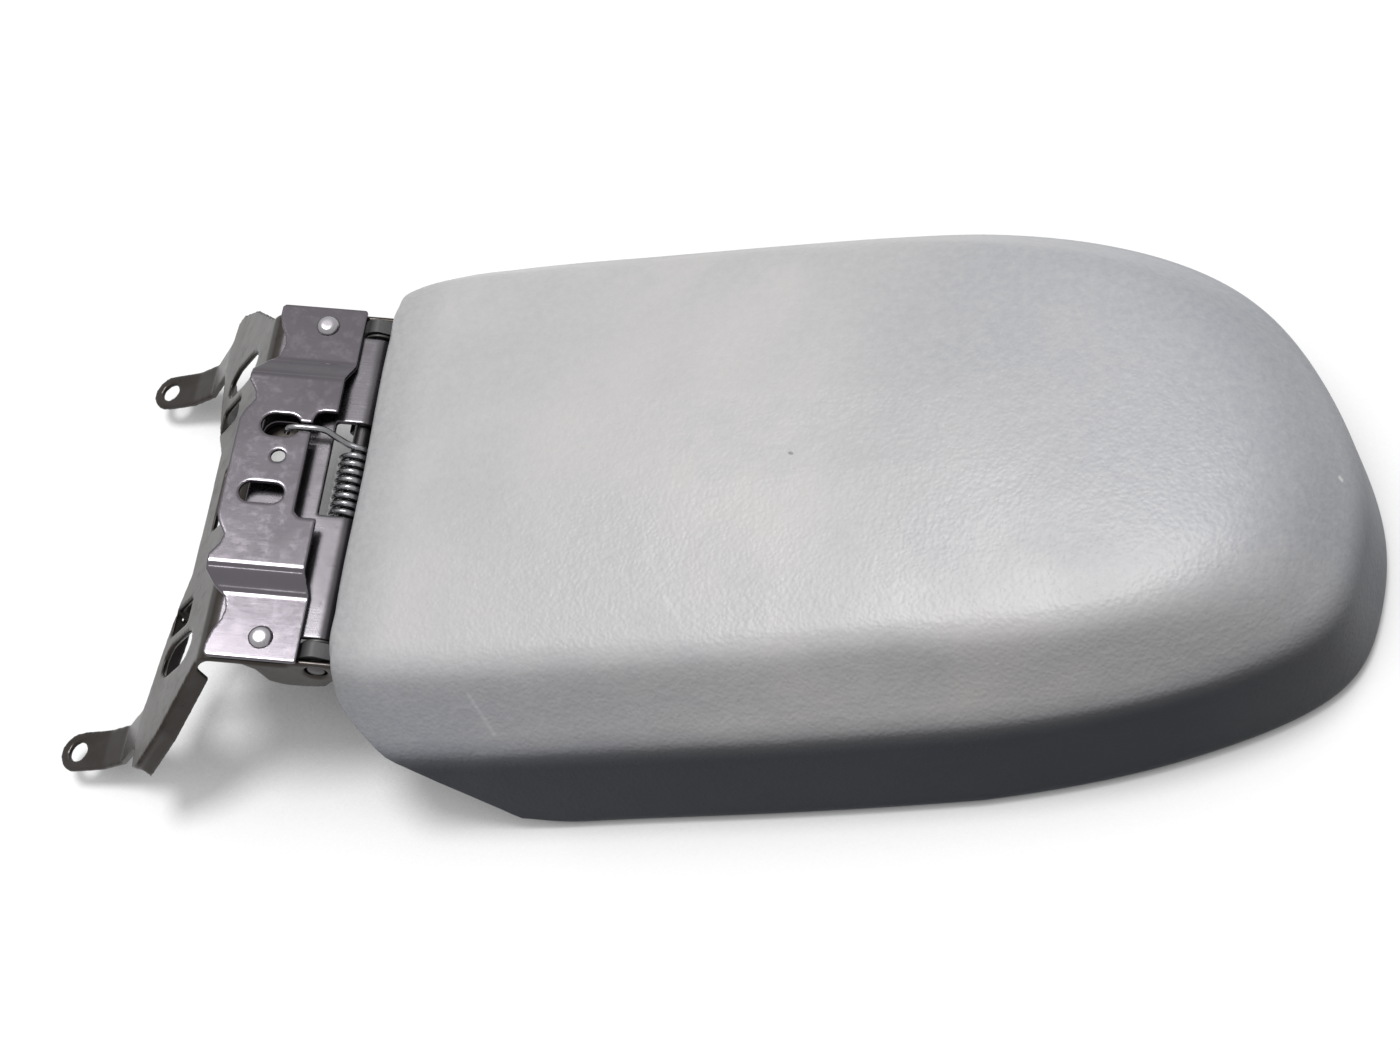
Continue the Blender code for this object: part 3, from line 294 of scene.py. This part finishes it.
def bumped(tree, shader, height, strength, distance, after=None):
    """Gives the shader a bump from a height, on top of an earlier bump if there is one."""
    inputs = {"Height": height, "Strength": strength, "Distance": distance}
    if after is not None:
        inputs["Normal"] = after
    out = node(tree, "ShaderNodeBump", inputs).outputs["Normal"]
    tree.links.new(out, shader.inputs["Normal"])
    return out


def skin_finish():
    """Grey leather-grained skin: pebbles and creases in the bump, slow mottling, worn shine, a few marks, and
    painted shade on its wall, rear edge and near slope.
    """
    mat, tree, shader, where = new_finish("grey_grained_skin", (0.50, 0.49, 0.49), 0.0, 0.42)
    slow = grain(tree, where, 8.0, 3.0, 0.6, 0.3)
    cool = grain(tree, where, 19.0, 4.0, 0.65)
    fine = grain(tree, where, 420.0, 4.0, 0.7)
    split = node(tree, "ShaderNodeSeparateXYZ", {"Vector": where}).outputs
    # Slow mottling between two greys, with cooler patches over it
    base = tint(tree, spread(tree, slow, 0.35, 0.65, 0.0, 1.0), (0.475, 0.472, 0.478), (0.575, 0.555, 0.545))
    base = tint(tree, spread(tree, cool, 0.50, 0.72, 0.0, 0.75), base, (0.43, 0.435, 0.455))
    # Darker and cooler towards the front, least along the near side
    front = math_of(tree, "MULTIPLY", spread(tree, split["X"], 0.045, 0.165, 0.0, 0.95),
                    spread(tree, slow, 0.25, 0.6, 1.0, 0.75))
    front = math_of(tree, "MULTIPLY", front, spread(tree, split["Y"], -0.075, -0.035, 0.1, 1.0))
    base = tint(tree, front, base, (0.295, 0.315, 0.355))
    # Painted shade: the rounded rear edge and the rear half of the near slope are darker, as if turned from
    # the light
    base = tint(tree, spread(tree, split["X"], -0.089, -0.068, 0.75, 0.0), base, (0.33, 0.33, 0.34))
    slope = math_of(tree, "MULTIPLY", spread(tree, split["Y"], -0.076, -0.060, 0.6, 0.0),
                    spread(tree, split["X"], -0.06, 0.05, 1.0, 0.0))
    base = tint(tree, slope, base, (0.36, 0.375, 0.425))
    # Paler crests of the grain, and painted shade: the wall below the chamfer darkened and cooled as if in
    # shadow, less at the tip
    base = tint(tree, spread(tree, fine, 0.35, 0.7, 0.0, 0.30), base, (0.62, 0.61, 0.61))
    wall_painted_shade = spread(tree, split["Z"], 0.029, 0.042, 0.9, 0.0)
    wall_painted_shade = math_of(tree, "MULTIPLY", wall_painted_shade, spread(tree, split["X"], 0.15, 0.195, 1.0, 0.45))
    base = tint(tree, wall_painted_shade, base, (0.140, 0.155, 0.195))
    # One dark speck, then two thin scratches and a pale fleck
    speck = mark(tree, where, (0.04819, -0.00767, 0.06192), (0.04869, -0.00787, 0.06192), 0.0003, 0.0004)
    base = tint(tree, speck, base, (0.24, 0.24, 0.25))
    for a, b, wide, shade in (((-0.04398, -0.07362, 0.05165), (-0.03861, -0.08195, 0.04201), 0.0002, 0.26),
                              ((0.01455, -0.04965, 0.05951), (0.02391, -0.06257, 0.05738), 0.0002, 0.18),
                              ((0.19484, -0.01604, 0.04294), (0.19534, -0.01640, 0.04254), 0.0002, 0.90)):
        base = tint(tree, math_of(tree, "MULTIPLY", mark(tree, where, a, b, wide, 0.0007), shade), base,
                    (0.80, 0.80, 0.79))
    tree.links.new(base, shader.inputs["Base Color"])
    # Worn and fresh patches differ in shine, and the low wall shines least
    gloss = spread(tree, grain(tree, where, 14.0, 3.0, 0.6), 0.3, 0.7, 0.36, 0.48)
    tree.links.new(gloss, shader.inputs["Roughness"])
    tree.links.new(spread(tree, split["Z"], 0.031, 0.041, 0.12, 0.42), shader.inputs["Specular IOR Level"])
    # The leather: soft pebbles with wandering edges on slow swells, then fine pores
    noise = node(tree, "ShaderNodeTexNoise", {"Vector": where, "Scale": 260.0, "Detail": 2.0})
    wander = node(tree, "ShaderNodeVectorMath", {0: noise.outputs["Color"], "Scale": 0.0012},
                  operation="SCALE").outputs[0]
    warped = node(tree, "ShaderNodeVectorMath", {0: where, 1: wander}, operation="ADD").outputs[0]
    pebble = node(tree, "ShaderNodeTexVoronoi", {"Vector": warped, "Scale": 900.0, "Randomness": 1.0},
                  feature="SMOOTH_F1").outputs["Distance"]
    low = bumped(tree, shader, grain(tree, where, 55.0, 3.0, 0.6), 0.35, 0.0008)
    low = bumped(tree, shader, pebble, 0.40, 0.00022, low)
    bumped(tree, shader, fine, 0.28, 0.00015, low)
    return mat


skin = skin_finish()
pad = placed("padded_armrest", grid_mesh("padded_armrest", settled(pad_points())), skin)
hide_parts("armrest_pad")
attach(pad, "lid")

# Moulded base, cover, catch lever and stops
# A ribbed base of black moulded plastic carries the foam and the hinge ears, and the catch's lever. A dark
# grey cover is screwed under it, with four rubber stops pressed in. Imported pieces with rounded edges.


def dressed(name, body, mat, edge=0.0003, segments=2, angle=28):
    """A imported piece's copy stands for it, its points merged, flat faces joined and edges bevelled."""
    mesh = frame["nodes"][name].data.copy()
    mesh.name = name + "_dressed"
    shell = bmesh.new()
    shell.from_mesh(mesh)
    bmesh.ops.remove_doubles(shell, verts=shell.verts, dist=2e-6)
    bmesh.ops.dissolve_limit(shell, angle_limit=math.radians(1.0), verts=shell.verts, edges=shell.edges,
                             delimit={"NORMAL"})
    for face in shell.faces:
        face.smooth = True
    for line in shell.edges:
        if len(line.link_faces) == 2 and line.calc_face_angle(0) > math.radians(angle):
            line.smooth = False
    shell.to_mesh(mesh)
    shell.free()
    mesh.materials.clear()
    mesh.materials.append(mat)
    made = bpy.data.objects.new(name + "_dressed", mesh)
    bpy.context.scene.collection.objects.link(made)
    if edge:
        bevel = made.modifiers.new("edges", "BEVEL")
        bevel.width = edge
        bevel.segments = segments
        bevel.limit_method = "ANGLE"
        bevel.angle_limit = math.radians(angle)
        bevel.harden_normals = True
    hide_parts(name)
    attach(made, body)


def moulded_finish(name, color, roughness):
    """Moulded plastic: a fine spark-eroded grain, slow gloss changes and a little dust."""
    mat, tree, shader, where = new_finish(name, color, 0.0, roughness)
    fine = grain(tree, where, 1400.0, 3.0, 0.6)
    slow = grain(tree, where, 40.0, 3.0, 0.6)
    dusty = tuple(min(1.0, c * 1.7 + 0.012) for c in color)
    base = tint(tree, spread(tree, slow, 0.45, 0.75, 0.0, 0.5), color, dusty)
    tree.links.new(base, shader.inputs["Base Color"])
    gloss = spread(tree, slow, 0.3, 0.7, roughness - 0.08, roughness + 0.10)
    tree.links.new(gloss, shader.inputs["Roughness"])
    bumped(tree, shader, fine, 0.35, 0.00012)
    return mat


black_plastic = moulded_finish("black_moulding", (0.018, 0.018, 0.020), 0.48)
liner_plastic = moulded_finish("grey_moulding", (0.055, 0.057, 0.061), 0.58)
rubber = moulded_finish("black_rubber", (0.014, 0.014, 0.014), 0.78)
dressed("lid_base", "lid", black_plastic, edge=0.0004)
dressed("lid_liner", "lid", liner_plastic, edge=0.0004)
dressed("latch_lever", "latch", black_plastic, edge=0.0006, segments=3)
for number in range(1, 5):
    dressed(f"rubber_bumper_{number}", "lid", rubber)

# Screws, catch pin, catch spring and bushes
# Zinc-plated screws driven up through the cover, and the catch's bright steel pin and wound spring.
# Two near-black nylon bushes are pressed into the base's ears and turn on the hinge pin.


def steel_finish(name, color, roughness, tarnish, spots=0.0, brushed=0.0):
    """Plated steel: cloudy tone, patchy gloss, fine drawing lines and dark specks of worn plating."""
    mat, tree, shader, where = new_finish(name, color, 0.95, roughness)
    cloud = grain(tree, where, 48.0, 4.0, 0.62, 0.4)
    small = grain(tree, where, 260.0, 4.0, 0.7)
    base = tint(tree, spread(tree, cloud, 0.35, 0.68, 0.0, 1.0), color, tarnish)
    base = tint(tree, spread(tree, small, 0.60, 0.72, 0.0, spots), base, tuple(c * 0.35 for c in tarnish))
    tree.links.new(base, shader.inputs["Base Color"])
    rough = spread(tree, cloud, 0.3, 0.7, roughness - 0.02, roughness + 0.03)
    rough = math_of(tree, "ADD", rough, spread(tree, small, 0.5, 0.75, 0.0, 0.08))
    tree.links.new(rough, shader.inputs["Roughness"])
    low = bumped(tree, shader, cloud, 0.10, 0.0003)
    low = bumped(tree, shader, small, 0.06, 0.00006, low)
    if brushed:
        stretched = node(tree, "ShaderNodeMapping", {"Vector": where, "Scale": (1.0, 18.0, 1.0)}).outputs[0]
        bumped(tree, shader, grain(tree, stretched, 90.0, 2.0, 0.6), brushed, 0.00008, low)
    return mat


dark_zinc = steel_finish("dark_zinc", (0.26, 0.26, 0.27), 0.36, (0.20, 0.20, 0.20))
bright_steel = steel_finish("bright_steel", (0.52, 0.51, 0.53), 0.24, (0.40, 0.39, 0.40), spots=0.3)
for number in range(1, 5):
    dressed(f"liner_screw_{number}", "lid", dark_zinc, edge=0.0002)
dressed("latch_pin", "lid", bright_steel)
dressed("latch_spring", "lid", bright_steel, edge=0.0, angle=60)
for side in ("near", "far"):
    nylon = moulded_finish(f"bush_{side}_nylon", (0.035, 0.034, 0.032), 0.42)
    dressed(f"bush_{side}", "lid", nylon, edge=0.0002)

# Hinge: top plate
# Stamped steel, joggled up between two flat ends that are riveted down, with dark violet-grey plating.
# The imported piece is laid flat, remeshed finely and its joggles are eased into soft bends.

TILT = math.radians(17.1)  # how far the plate leans at rest
hinge_joint = next(j for j in frame["joints"] if j["name"] == "lid_hinge")
PIN = np.array(hinge_joint["pos_m"])
JOGGLE_FOOT, JOGGLE_TOP, JOGGLE_EASE, RISE = 0.0405, 0.0345, 0.0020, 0.0037
HOLE_RADIUS, HOLE_REACH, HOLE_SIDES = 0.0027, 0.012, 24


def to_hinge(points):
    """World points turned to the hinge's own frame, with the pin at the origin and the plate level."""
    c, s = math.cos(TILT), math.sin(TILT)
    d = points - PIN
    return np.stack([d[:, 0] * c - d[:, 2] * s, d[:, 1], d[:, 0] * s + d[:, 2] * c], 1)


def from_hinge(points):
    """The reverse of to_hinge."""
    c, s = math.cos(TILT), math.sin(TILT)
    return np.stack([points[:, 0] * c + points[:, 2] * s, points[:, 1],
                     -points[:, 0] * s + points[:, 2] * c], 1) + PIN


def mesh_points(mesh):
    """The mesh's points as an array of (count, 3)."""
    points = np.empty(len(mesh.vertices) * 3)
    mesh.vertices.foreach_get("co", points)
    return points.reshape(-1, 3)


def remeshed(name, voxel, passes, mat, change=None, hole=None):
    """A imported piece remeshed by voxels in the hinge's frame, smoothed and put back.

    The change is a function of its points in that frame. The hole is a world point, where a round hole is
    drilled square to the plate.
    """
    mesh = frame["nodes"][name].data.copy()
    shell = bmesh.new()
    shell.from_mesh(mesh)
    bmesh.ops.remove_doubles(shell, verts=shell.verts, dist=2e-6)
    shell.to_mesh(mesh)
    shell.free()
    mesh.vertices.foreach_set("co", to_hinge(mesh_points(mesh)).ravel())
    helper = bpy.data.objects.new("helper", mesh)
    bpy.context.scene.collection.objects.link(helper)
    if hole:
        x, y, _ = to_hinge(np.array([hole]))[0]
        punch = bpy.data.meshes.new("punch")
        turn = np.linspace(0, 2 * math.pi, HOLE_SIDES, endpoint=False)
        ring = np.stack([x + HOLE_RADIUS * np.cos(turn), y + HOLE_RADIUS * np.sin(turn), 0 * turn], 1)
        i = np.arange(HOLE_SIDES)
        after = (i + 1) % HOLE_SIDES
        walls = np.stack([i, after, HOLE_SIDES + after, HOLE_SIDES + i], 1).tolist()
        punch.from_pydata(np.vstack([ring - (0, 0, HOLE_REACH), ring + (0, 0, HOLE_REACH)]), [],
                          walls + [i[::-1].tolist(), (HOLE_SIDES + i).tolist()])
        tool = bpy.data.objects.new("punch", punch)
        bpy.context.scene.collection.objects.link(tool)
        drilled = helper.modifiers.new("hole", "BOOLEAN")
        drilled.object = tool
    fine = helper.modifiers.new("fine", "REMESH")
    fine.mode = "VOXEL"
    fine.voxel_size = voxel
    ease = helper.modifiers.new("ease", "SMOOTH")
    ease.factor = 0.5
    ease.iterations = passes
    depsgraph = bpy.context.evaluated_depsgraph_get()
    made = bpy.data.meshes.new_from_object(helper.evaluated_get(depsgraph))
    bpy.data.objects.remove(helper)
    if hole:
        bpy.data.objects.remove(tool)
    points = mesh_points(made)
    if change:
        points = change(points)
    made.vertices.foreach_set("co", from_hinge(points).ravel())
    return placed(name + "_pressed", made, mat)


def soft_joggle(points):
    """Moves each point by the gap between a longer cosine-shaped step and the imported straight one."""
    y = np.abs(points[:, 1])
    straight = RISE * np.clip((JOGGLE_FOOT - y) / (JOGGLE_FOOT - JOGGLE_TOP), 0, 1)
    share = np.clip((JOGGLE_FOOT + JOGGLE_EASE - y) / (JOGGLE_FOOT - JOGGLE_TOP + 2 * JOGGLE_EASE), 0, 1)
    soft = RISE * 0.5 * (1 - np.cos(math.pi * share))
    points[:, 2] += soft - straight
    return points


plating = steel_finish("violet_plating", (0.124, 0.114, 0.127), 0.17, (0.112, 0.103, 0.115),
                       spots=0.22, brushed=0.04)
plate = remeshed("top_plate", 0.0004, 5, plating, change=soft_joggle)
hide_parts("top_plate")
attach(plate, "hinge")

# Hinge: leaf with rolled knuckles
# A second steel sheet riveted under the plate, its front edge rolled round the pin in two long knuckles.
# A plating of the same kind, darker and more spotted all over, with a small sight hole drilled through it.

LEAF_HOLE = (-0.11934, 0.00812, 0.0570)
leaf_plating = steel_finish("leaf_plating", (0.115, 0.108, 0.118), 0.27, (0.075, 0.07, 0.076),
                            spots=0.5, brushed=0.12)
leaf = remeshed("hinge_leaf", 0.0004, 5, leaf_plating, hole=LEAF_HOLE)
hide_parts("hinge_leaf")
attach(leaf, "hinge")

# Mounting bracket
# Thick stamped steel with turned-down rims, in a darker brownish satin plating. It is riveted under the
# leaf, holds the pin's ends in its two cheeks, and is screwed to the console by the eyes of its arms.

BRACKET_HOLE = (-0.12065, 0.00940, 0.0550)
bracket_plating = steel_finish("bracket_plating", (0.052, 0.047, 0.045), 0.30, (0.031, 0.026, 0.022),
                                spots=0.5)
bracket = remeshed("mounting_bracket", 0.0006, 9, bracket_plating, hole=BRACKET_HOLE)
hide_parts("mounting_bracket")
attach(bracket, "hinge")

# Rivets and hinge pin
# Steel rivets with low domed heads, upset under the bracket, hold the three sheets together.
# The darker pin runs through the knuckles, and its ends are domed over in the bracket's cheeks.

RIVET = {"near": -0.0554, "far": 0.0554}
RIVET_X, PLATE_TOP = -0.0165, 0.0072
HEAD_RADIUS, HEAD_RISE, SHANK_RADIUS, SHANK_END = 0.0037, 0.0015, 0.0019, 0.0004


def spun(rows, count, center):
    """Rows of (radius, height) spun about an upright axis through the center."""
    turn = np.linspace(0, 2 * math.pi, count, endpoint=False)
    r, h = rows[:, 0][:, None], rows[:, 1][:, None]
    return np.stack([center[0] + r * np.cos(turn), center[1] + r * np.sin(turn), h + 0 * turn], -1)


def rivet_rows():
    """A low dome, whose height falls with the radius to the power 4.5, then a shank and an upset foot."""
    r = np.linspace(0.0, HEAD_RADIUS, 14)
    dome = np.stack([r, PLATE_TOP + 0.0002 + HEAD_RISE * (1 - (r / HEAD_RADIUS) ** 4.5)], 1)
    foot = np.array([(HEAD_RADIUS, PLATE_TOP + 0.0001), (SHANK_RADIUS, PLATE_TOP + 0.0001),
                     (SHANK_RADIUS, SHANK_END), (0.0031, SHANK_END), (0.0030, -0.0002), (0.0024, -0.0006),
                     (0.0, -0.0006)])
    return np.vstack([dome, foot])


rivet_steel = steel_finish("rivet_steel", (0.36, 0.345, 0.37), 0.26, (0.26, 0.25, 0.26), spots=0.4)
for side, across in RIVET.items():
    points = spun(rivet_rows(), 40, (RIVET_X, across))
    mesh = grid_mesh(f"rivet_{side}_head", points)
    mesh.vertices.foreach_set("co", from_hinge(mesh_points(mesh)).ravel())
    head = placed(f"rivet_{side}_head", mesh, rivet_steel)
    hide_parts(f"rivet_{side}")
    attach(head, "hinge")
pin_steel = steel_finish("pin_steel", (0.11, 0.105, 0.11), 0.3, (0.07, 0.065, 0.065), spots=0.4)
dressed("hinge_pin", "hinge", pin_steel)

# Torsion spring
# Spring steel wire wound in eight turns round the pin, inside the plate's notch, and held by its two legs:
# one is hooked down into the plate's keyhole, and the other lies on the lid's rail.

# The wire's radius, the coil's mean radius, its pitch and turns, and where along the pin it starts
WIRE, COIL, PITCH, TURNS, COIL_START = 0.00105, 0.0052, 0.00286, 8, -0.0105
LEG_REACH, HOOK_Y = 0.016, 0.0154


def tube(points, radius, sides=14):
    """A round bar along a path: circles turned with the path by the least twist, closed at both ends."""
    p = np.array(points)
    t = np.gradient(p, axis=0)
    t /= np.linalg.norm(t, axis=1)[:, None]
    normal = np.empty_like(p)
    n = np.cross(t[0], (0.3, 0.2, 0.9))
    for i in range(len(p)):
        n = n - t[i] * (n @ t[i])
        n /= np.linalg.norm(n)
        normal[i] = n
    side = np.cross(t, normal)
    a = np.linspace(0, 2 * math.pi, sides, endpoint=False)[None, :, None]
    rings = p[:, None] + radius * (np.cos(a) * normal[:, None] + np.sin(a) * side[:, None])
    ends = [np.repeat(p[i][None, None], sides, 1) for i in (0, -1)]
    return np.concatenate([ends[0], rings, ends[1]])


def smooth_path(points, count):
    """Points evenly along a path, with its corners eased by averaging neighbours."""
    p = np.array(points)
    run = np.concatenate([[0], np.cumsum(np.linalg.norm(np.diff(p, axis=0), axis=1))])
    at = np.linspace(0, run[-1], count)
    return blurred(np.stack([np.interp(at, run, p[:, i]) for i in range(3)], 1), 1.6)


def spring_path():
    """A straight leg along the relief, a helix that moves along the pin as it turns, and the hook."""
    run = np.array([KNEE[0] - REAR, 0, KNEE[1] - LIP_Z])
    start = math.atan2(run[2], run[0]) + math.pi / 2 + TILT
    tail = np.array([math.sin(start), 0, -math.cos(start)])
    first = np.array([COIL * math.cos(start), COIL_START, COIL * math.sin(start)])
    leg = first + tail * np.linspace(LEG_REACH, 0.001, 14)[:, None]
    total = math.pi / 2 + 2 * math.pi * TURNS - start
    a = start + total * np.linspace(0, 1, 420)
    along = COIL_START + PITCH * (a - start) / (2 * math.pi)
    helix = np.stack([COIL * np.cos(a), along, COIL * np.sin(a)], 1)
    last = helix[-1, 1]
    high = PLATE_TOP + RISE - 0.0008
    hook = [(-0.0026, last + 0.0006, COIL + 0.0003), (-0.0062, last + 0.0016, 0.0076),
            (-0.0095, HOOK_Y, high - 0.0006), (-0.0125, HOOK_Y, high), (-0.0190, HOOK_Y, high),
            (-0.0215, HOOK_Y, high - 0.0010), (-0.0225, HOOK_Y, high - 0.0040)]
    return smooth_path(np.vstack([leg, helix, hook]), 620)


spring_steel = steel_finish("spring_wire", (0.26, 0.26, 0.27), 0.24, (0.17, 0.17, 0.18), spots=0.3)
mesh = grid_mesh("wound_spring", tube(spring_path(), WIRE))
mesh.vertices.foreach_set("co", from_hinge(mesh_points(mesh)).ravel())
spring = placed("wound_spring", mesh, spring_steel)
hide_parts("torsion_spring")
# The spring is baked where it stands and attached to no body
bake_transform(spring)

# Floor, light and camera
# A white table that keeps the armrest's shadow, with painted shade around and under it, a dim white room and
# one broad soft lamp from above.
# The camera stands where the photograph's did.


def seen_directly(tree):
    """1 for rays from the camera, off a gloss or through a clear material, and 0 for all others."""
    path = node(tree, "ShaderNodeLightPath").outputs
    direct = math_of(tree, "MAXIMUM", path["Is Camera Ray"], path["Is Glossy Ray"])
    return math_of(tree, "MAXIMUM", direct, path["Is Transmission Ray"])


floor_mat = bpy.data.materials.new("white_table")
floor_mat.use_nodes = True
tree = floor_mat.node_tree
tree.nodes.clear()
seen = node(tree, "ShaderNodeBsdfDiffuse", {"Color": (0.48, 0.48, 0.48, 1.0)}).outputs[0]
glow = node(tree, "ShaderNodeEmission", {"Color": (1, 1, 1, 1), "Strength": 0.56}).outputs[0]
bright = node(tree, "ShaderNodeAddShader", {0: seen, 1: glow}).outputs[0]
# Painted shade: the table turns dark grey where the armrest and hinge hide it from the room, around and under
# them
painted_shade_occlusion = node(tree, "ShaderNodeAmbientOcclusion", {"Distance": 0.12}, samples=10).outputs["AO"]
bright = node(tree, "ShaderNodeMixShader", {
    0: spread(tree, painted_shade_occlusion, 0.14, 0.78, 0.0, 1.0),
    1: node(tree, "ShaderNodeBsdfDiffuse", {"Color": (0.10, 0.10, 0.10, 1)}).outputs[0],
    2: bright}).outputs[0]
plain = node(tree, "ShaderNodeBsdfDiffuse", {"Color": (0.04, 0.042, 0.046, 1)}).outputs[0]
both = node(tree, "ShaderNodeMixShader", {0: seen_directly(tree), 1: plain, 2: bright}).outputs[0]
node(tree, "ShaderNodeOutputMaterial", {"Surface": both})
TABLE_HALF, TABLE_Z = 6.0, -0.0004
corners = [(x * TABLE_HALF, y * TABLE_HALF, TABLE_Z) for x, y in ((-1, -1), (1, -1), (1, 1), (-1, 1))]
mesh = bpy.data.meshes.new("table_top")
mesh.from_pydata(corners, [], [(0, 1, 2, 3)])
mesh.materials.append(floor_mat)
table = bpy.data.objects.new("table_top", mesh)
bpy.context.scene.collection.objects.link(table)

world = bpy.data.worlds.new("soft_room")
world.use_nodes = True
tree = world.node_tree
tree.nodes.clear()
dim = node(tree, "ShaderNodeBackground", {"Color": (0.92, 0.95, 1, 1), "Strength": 0.035}).outputs[0]
white = node(tree, "ShaderNodeBackground", {"Color": (1, 1, 1, 1), "Strength": 1.0}).outputs[0]
both = node(tree, "ShaderNodeMixShader", {0: seen_directly(tree), 1: dim, 2: white}).outputs[0]
node(tree, "ShaderNodeOutputWorld", {"Surface": both})
bpy.context.scene.world = world

lamp = bpy.data.lights.new("soft_key", "SUN")
lamp.energy = 3.12
lamp.angle = math.radians(20)
key = bpy.data.objects.new("soft_key", lamp)
bpy.context.scene.collection.objects.link(key)
key.rotation_mode = "QUATERNION"
key.rotation_quaternion = Vector((0.01, -0.19, -0.98)).to_track_quat("-Z", "Y")

# The lens, the axes and the standing point were solved from the photograph
camera = bpy.data.cameras.new("camera")
camera.sensor_width = 36.0
camera.lens = 51.43
camera.clip_start = 0.05
view = bpy.data.objects.new("camera", camera)
bpy.context.scene.collection.objects.link(view)
right, up, back = (0.95336, 0.09276, -0.28723), (0.05897, 0.87602, 0.47865), (0.29602, -0.47327, 0.82969)
stand = (0.18930, -0.29381, 0.52594)
view.matrix_world = Matrix([(right[i], up[i], back[i], stand[i]) for i in range(3)] + [(0, 0, 0, 1)])
bpy.context.scene.camera = view
bpy.context.scene.view_settings.view_transform = "Standard"
